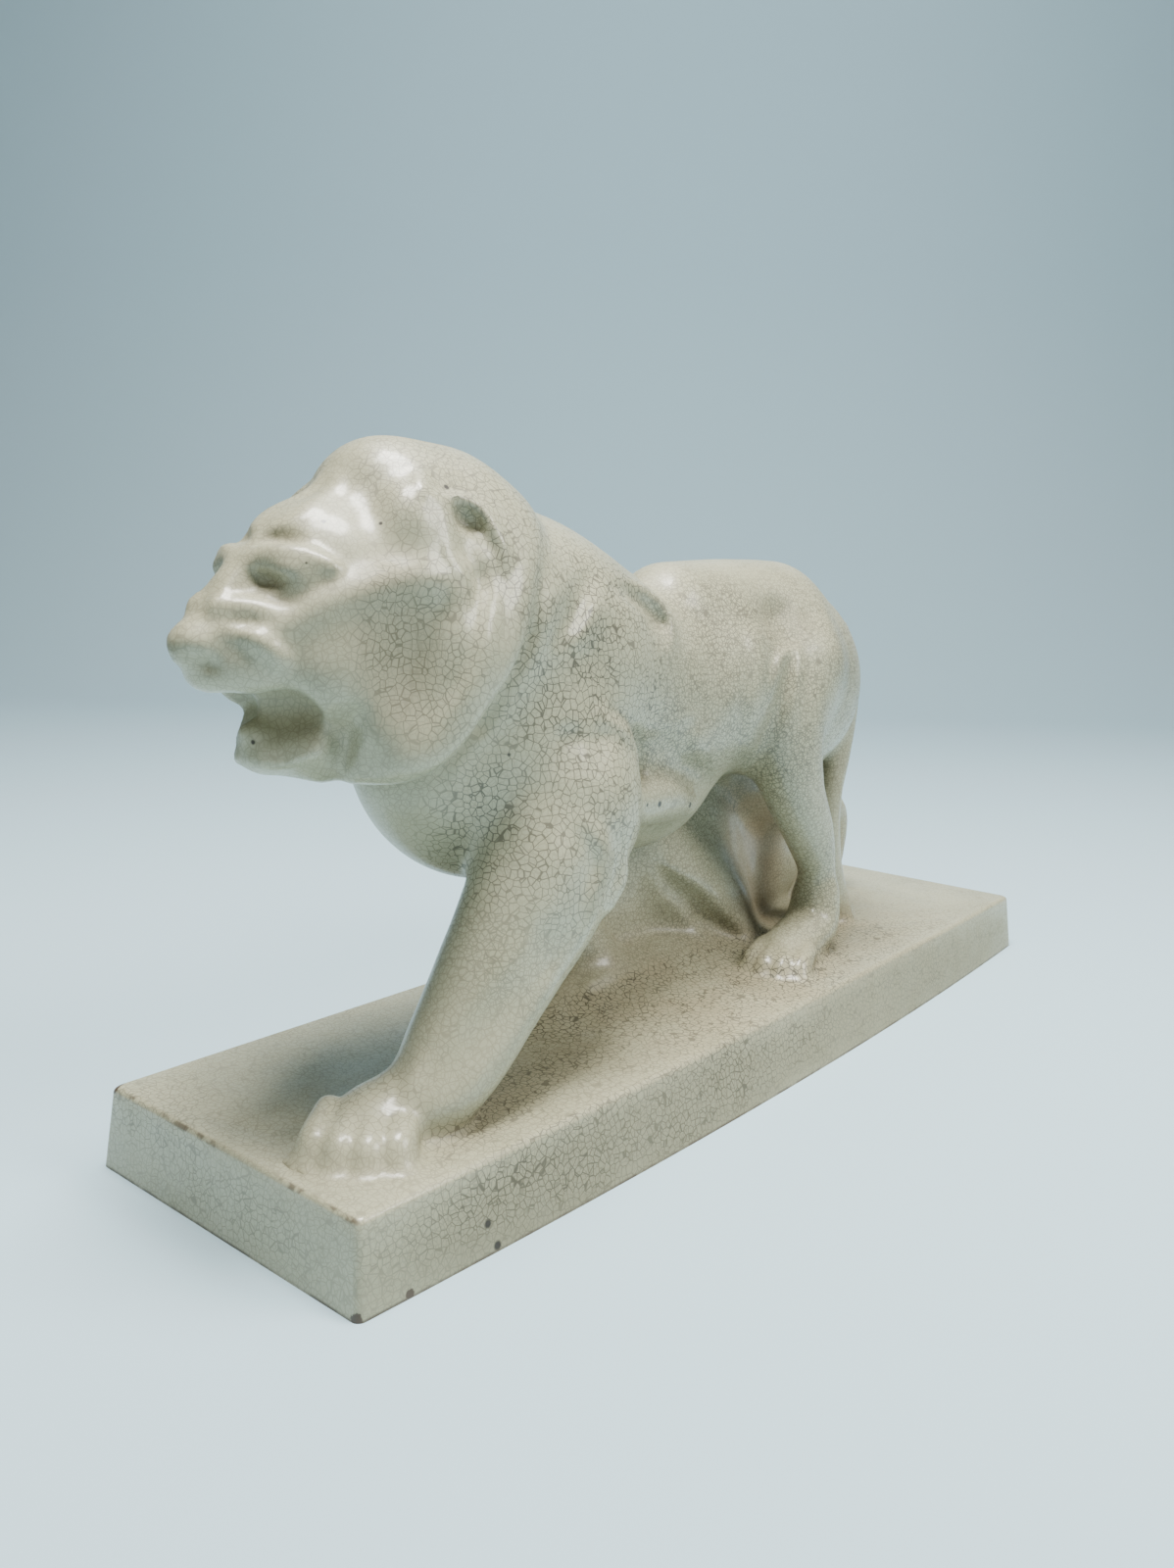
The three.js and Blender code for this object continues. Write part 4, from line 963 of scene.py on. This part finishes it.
def glaze_material():
    material = bpy.data.materials.new("crackle_glaze")
    t = Tree(material)
    where = t.add("ShaderNodeTexCoord").outputs["Object"]
    cloud = t.noise(where, *NOISE["cloud"])["Fac"]
    lines = crackle_lines(t, where, cloud)
    hollow = t.held("hollow")
    bare_and_contact_shade = worn_and_contact_shade_share(t, where)

    colour = t.mix(t.spread(cloud, *RANGE["body_cloud"]), BODY_LIGHT, BODY_DARK)
    speckle = t.noise(where, *NOISE["speckle"])["Fac"]
    colour = t.mix(t.spread(speckle, *RANGE["speckle"]), colour, SPECKLE)
    # Brown stain, with painted shade in the recess between the hind legs, in the mouth and under the lion.
    stain_and_shade_mottle = t.spread(t.noise(where, *NOISE["stain_and_shade_mottle"])["Fac"], *RANGE["stain_and_shade_mottle"])
    colour = t.mix(t.times(t.held("stain_and_shade"), stain_and_shade_mottle), colour, STAIN_AND_SHADE_BROWN)
    # Painted shade in hollows and creases, and on the patches of painted shade.
    colour = t.mix(t.times(hollow, SHADE_SHARE), colour, SHADE)
    colour = t.mix(t.times(lines, CRACK_SHARE), colour, CRACK)
    colour = t.mix(hole_share(t, where), colour, HOLE)
    # Bare brown body at chips and the rubbed edge; along the foot, also a painted contact shadow.
    colour = t.mix(bare_and_contact_shade, colour, BARE_AND_CONTACT_SHADE)

    rough = t.spread(t.noise(where, *NOISE["gloss"])["Fac"], *RANGE["gloss"])
    rough = t.math("ADD", rough, t.times(lines, CRACK_ROUGH))
    rough = t.math("ADD", rough, t.times(hollow, HOLLOW_ROUGH))
    coat = t.times(t.spread(bare_and_contact_shade, *RANGE["coat_by_bare_and_contact_shade"]), t.spread(hollow, *RANGE["coat_by_hollow"]))
    swell = t.noise(where, *NOISE["swell"])["Fac"]
    bump = t.add("ShaderNodeBump", Height=swell, **SWELL)
    shader = t.shader.inputs
    t.put(shader["Base Color"], colour)
    t.put(shader["Roughness"], rough)
    t.put(shader["Coat Weight"], coat)
    t.put(shader["Normal"], bump.outputs["Normal"])
    shader["IOR"].default_value = IOR
    shader["Coat Roughness"].default_value = COAT_ROUGH
    return material


glaze = glaze_material()
figure.data.materials.clear()
figure.data.materials.append(glaze)
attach(figure, "root")
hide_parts("lion_figure")


# The stage, in metres: a pale sweep, soft light and the photograph's camera.
PAPER = (0.455, 0.625, 0.71, 1)
PAPER_ROUGH = 0.9
SWEEP = dict(ahead=(0.77, 0.637, 0), near=-3.0, bend=1.2, radius=0.8, steps=24, top=4.0, side=4.0)
ROOM = dict(Color=(1.0, 0.955, 0.87, 1), Strength=0.17)
# Lights: name, place, aim, size, power, colour
LIGHTS = (
    ("top_light", (-0.15, -0.05, 1.25), (-0.05, 0.0, 0.1), 0.45, 36.0, (1.0, 0.99, 0.95)),
    ("right_light", (0.45, -1.05, 1.05), (0, 0, 0.12), 0.6, 18.5, (1.0, 0.985, 0.94)),
    ("front_light", (-1.3, -0.7, 0.5), (-0.15, 0, 0.12), 0.8, 1.8, (1.0, 0.97, 0.89)),
    ("back_light", (0.9, 0.6, 1.9), (1.6, 1.3, 0.5), 1.8, 17.0, (0.9, 1.0, 1.0)),
)
PHOTO_HEIGHT = 1600
FOCAL_PIXELS = 1241.6
SENSOR = 36.0
CLIP_START = 0.01
CAMERA_AT = (-0.4370, -0.3089, 0.2093)
CAMERA_RIGHT = Vector((0.6407, -0.7674, 0.0246))
CAMERA_DOWN = Vector((-0.1204, -0.1321, -0.9839))
CAMERA_AHEAD = Vector((0.7583, 0.6274, -0.1770))


def paper_material():
    material = bpy.data.materials.new("paper")
    material.use_nodes = True
    shader = material.node_tree.nodes["Principled BSDF"]
    shader.inputs["Base Color"].default_value = PAPER
    shader.inputs["Roughness"].default_value = PAPER_ROUGH
    return material


def sweep():
    """Floor and backdrop in one, turned square to the camera's view."""
    ahead = Vector(SWEEP["ahead"]).normalized()
    aside = Vector((ahead.y, -ahead.x, 0))
    bend, radius, steps = SWEEP["bend"], SWEEP["radius"], SWEEP["steps"]
    profile = [(SWEEP["near"], 0.0), (bend, 0.0)]
    for i in range(1, steps + 1):
        a = math.radians(90 * i / steps)
        profile.append((bend + radius * math.sin(a), radius * (1 - math.cos(a))))
    profile.append((bend + radius, SWEEP["top"]))
    bm = bmesh.new()
    rows = []
    for along, up in profile:
        middle = ahead * along
        rise = Vector((0, 0, up))
        rows.append([bm.verts.new(middle + aside * side + rise) for side in (-SWEEP["side"], SWEEP["side"])])
    for a, b in zip(rows, rows[1:]):
        bm.faces.new((a[0], a[1], b[1], b[0]))
    mesh = bpy.data.meshes.new("sweep")
    bm.to_mesh(mesh)
    bm.free()
    smooth_shaded(mesh)
    mesh.materials.append(paper_material())
    floor = linked(mesh, "sweep")


def area_light(name, at, aim, size, power, colour):
    data = bpy.data.lights.new(name, "AREA")
    data.energy = power
    data.color = colour
    data.shape = "SQUARE"
    data.size = size
    lamp = linked(data, name)
    lamp.location = at
    lamp.rotation_euler = (Vector(aim) - Vector(at)).to_track_quat("-Z", "Y").to_euler()


def camera():
    data = bpy.data.cameras.new("camera")
    data.sensor_fit = "VERTICAL"
    data.sensor_height = SENSOR
    data.lens = SENSOR * FOCAL_PIXELS / PHOTO_HEIGHT
    data.clip_start = CLIP_START
    lens = linked(data, "camera")
    turn = Matrix((CAMERA_RIGHT, -CAMERA_DOWN, -CAMERA_AHEAD)).transposed()
    lens.matrix_world = Matrix.Translation(CAMERA_AT) @ turn.to_4x4()
    bpy.context.scene.camera = lens


def room():
    world = bpy.data.worlds.new("room")
    world.use_nodes = True
    for name, value in ROOM.items():
        world.node_tree.nodes["Background"].inputs[name].default_value = value
    bpy.context.scene.world = world


sweep()
camera()
room()
for light in LIGHTS:
    area_light(*light)
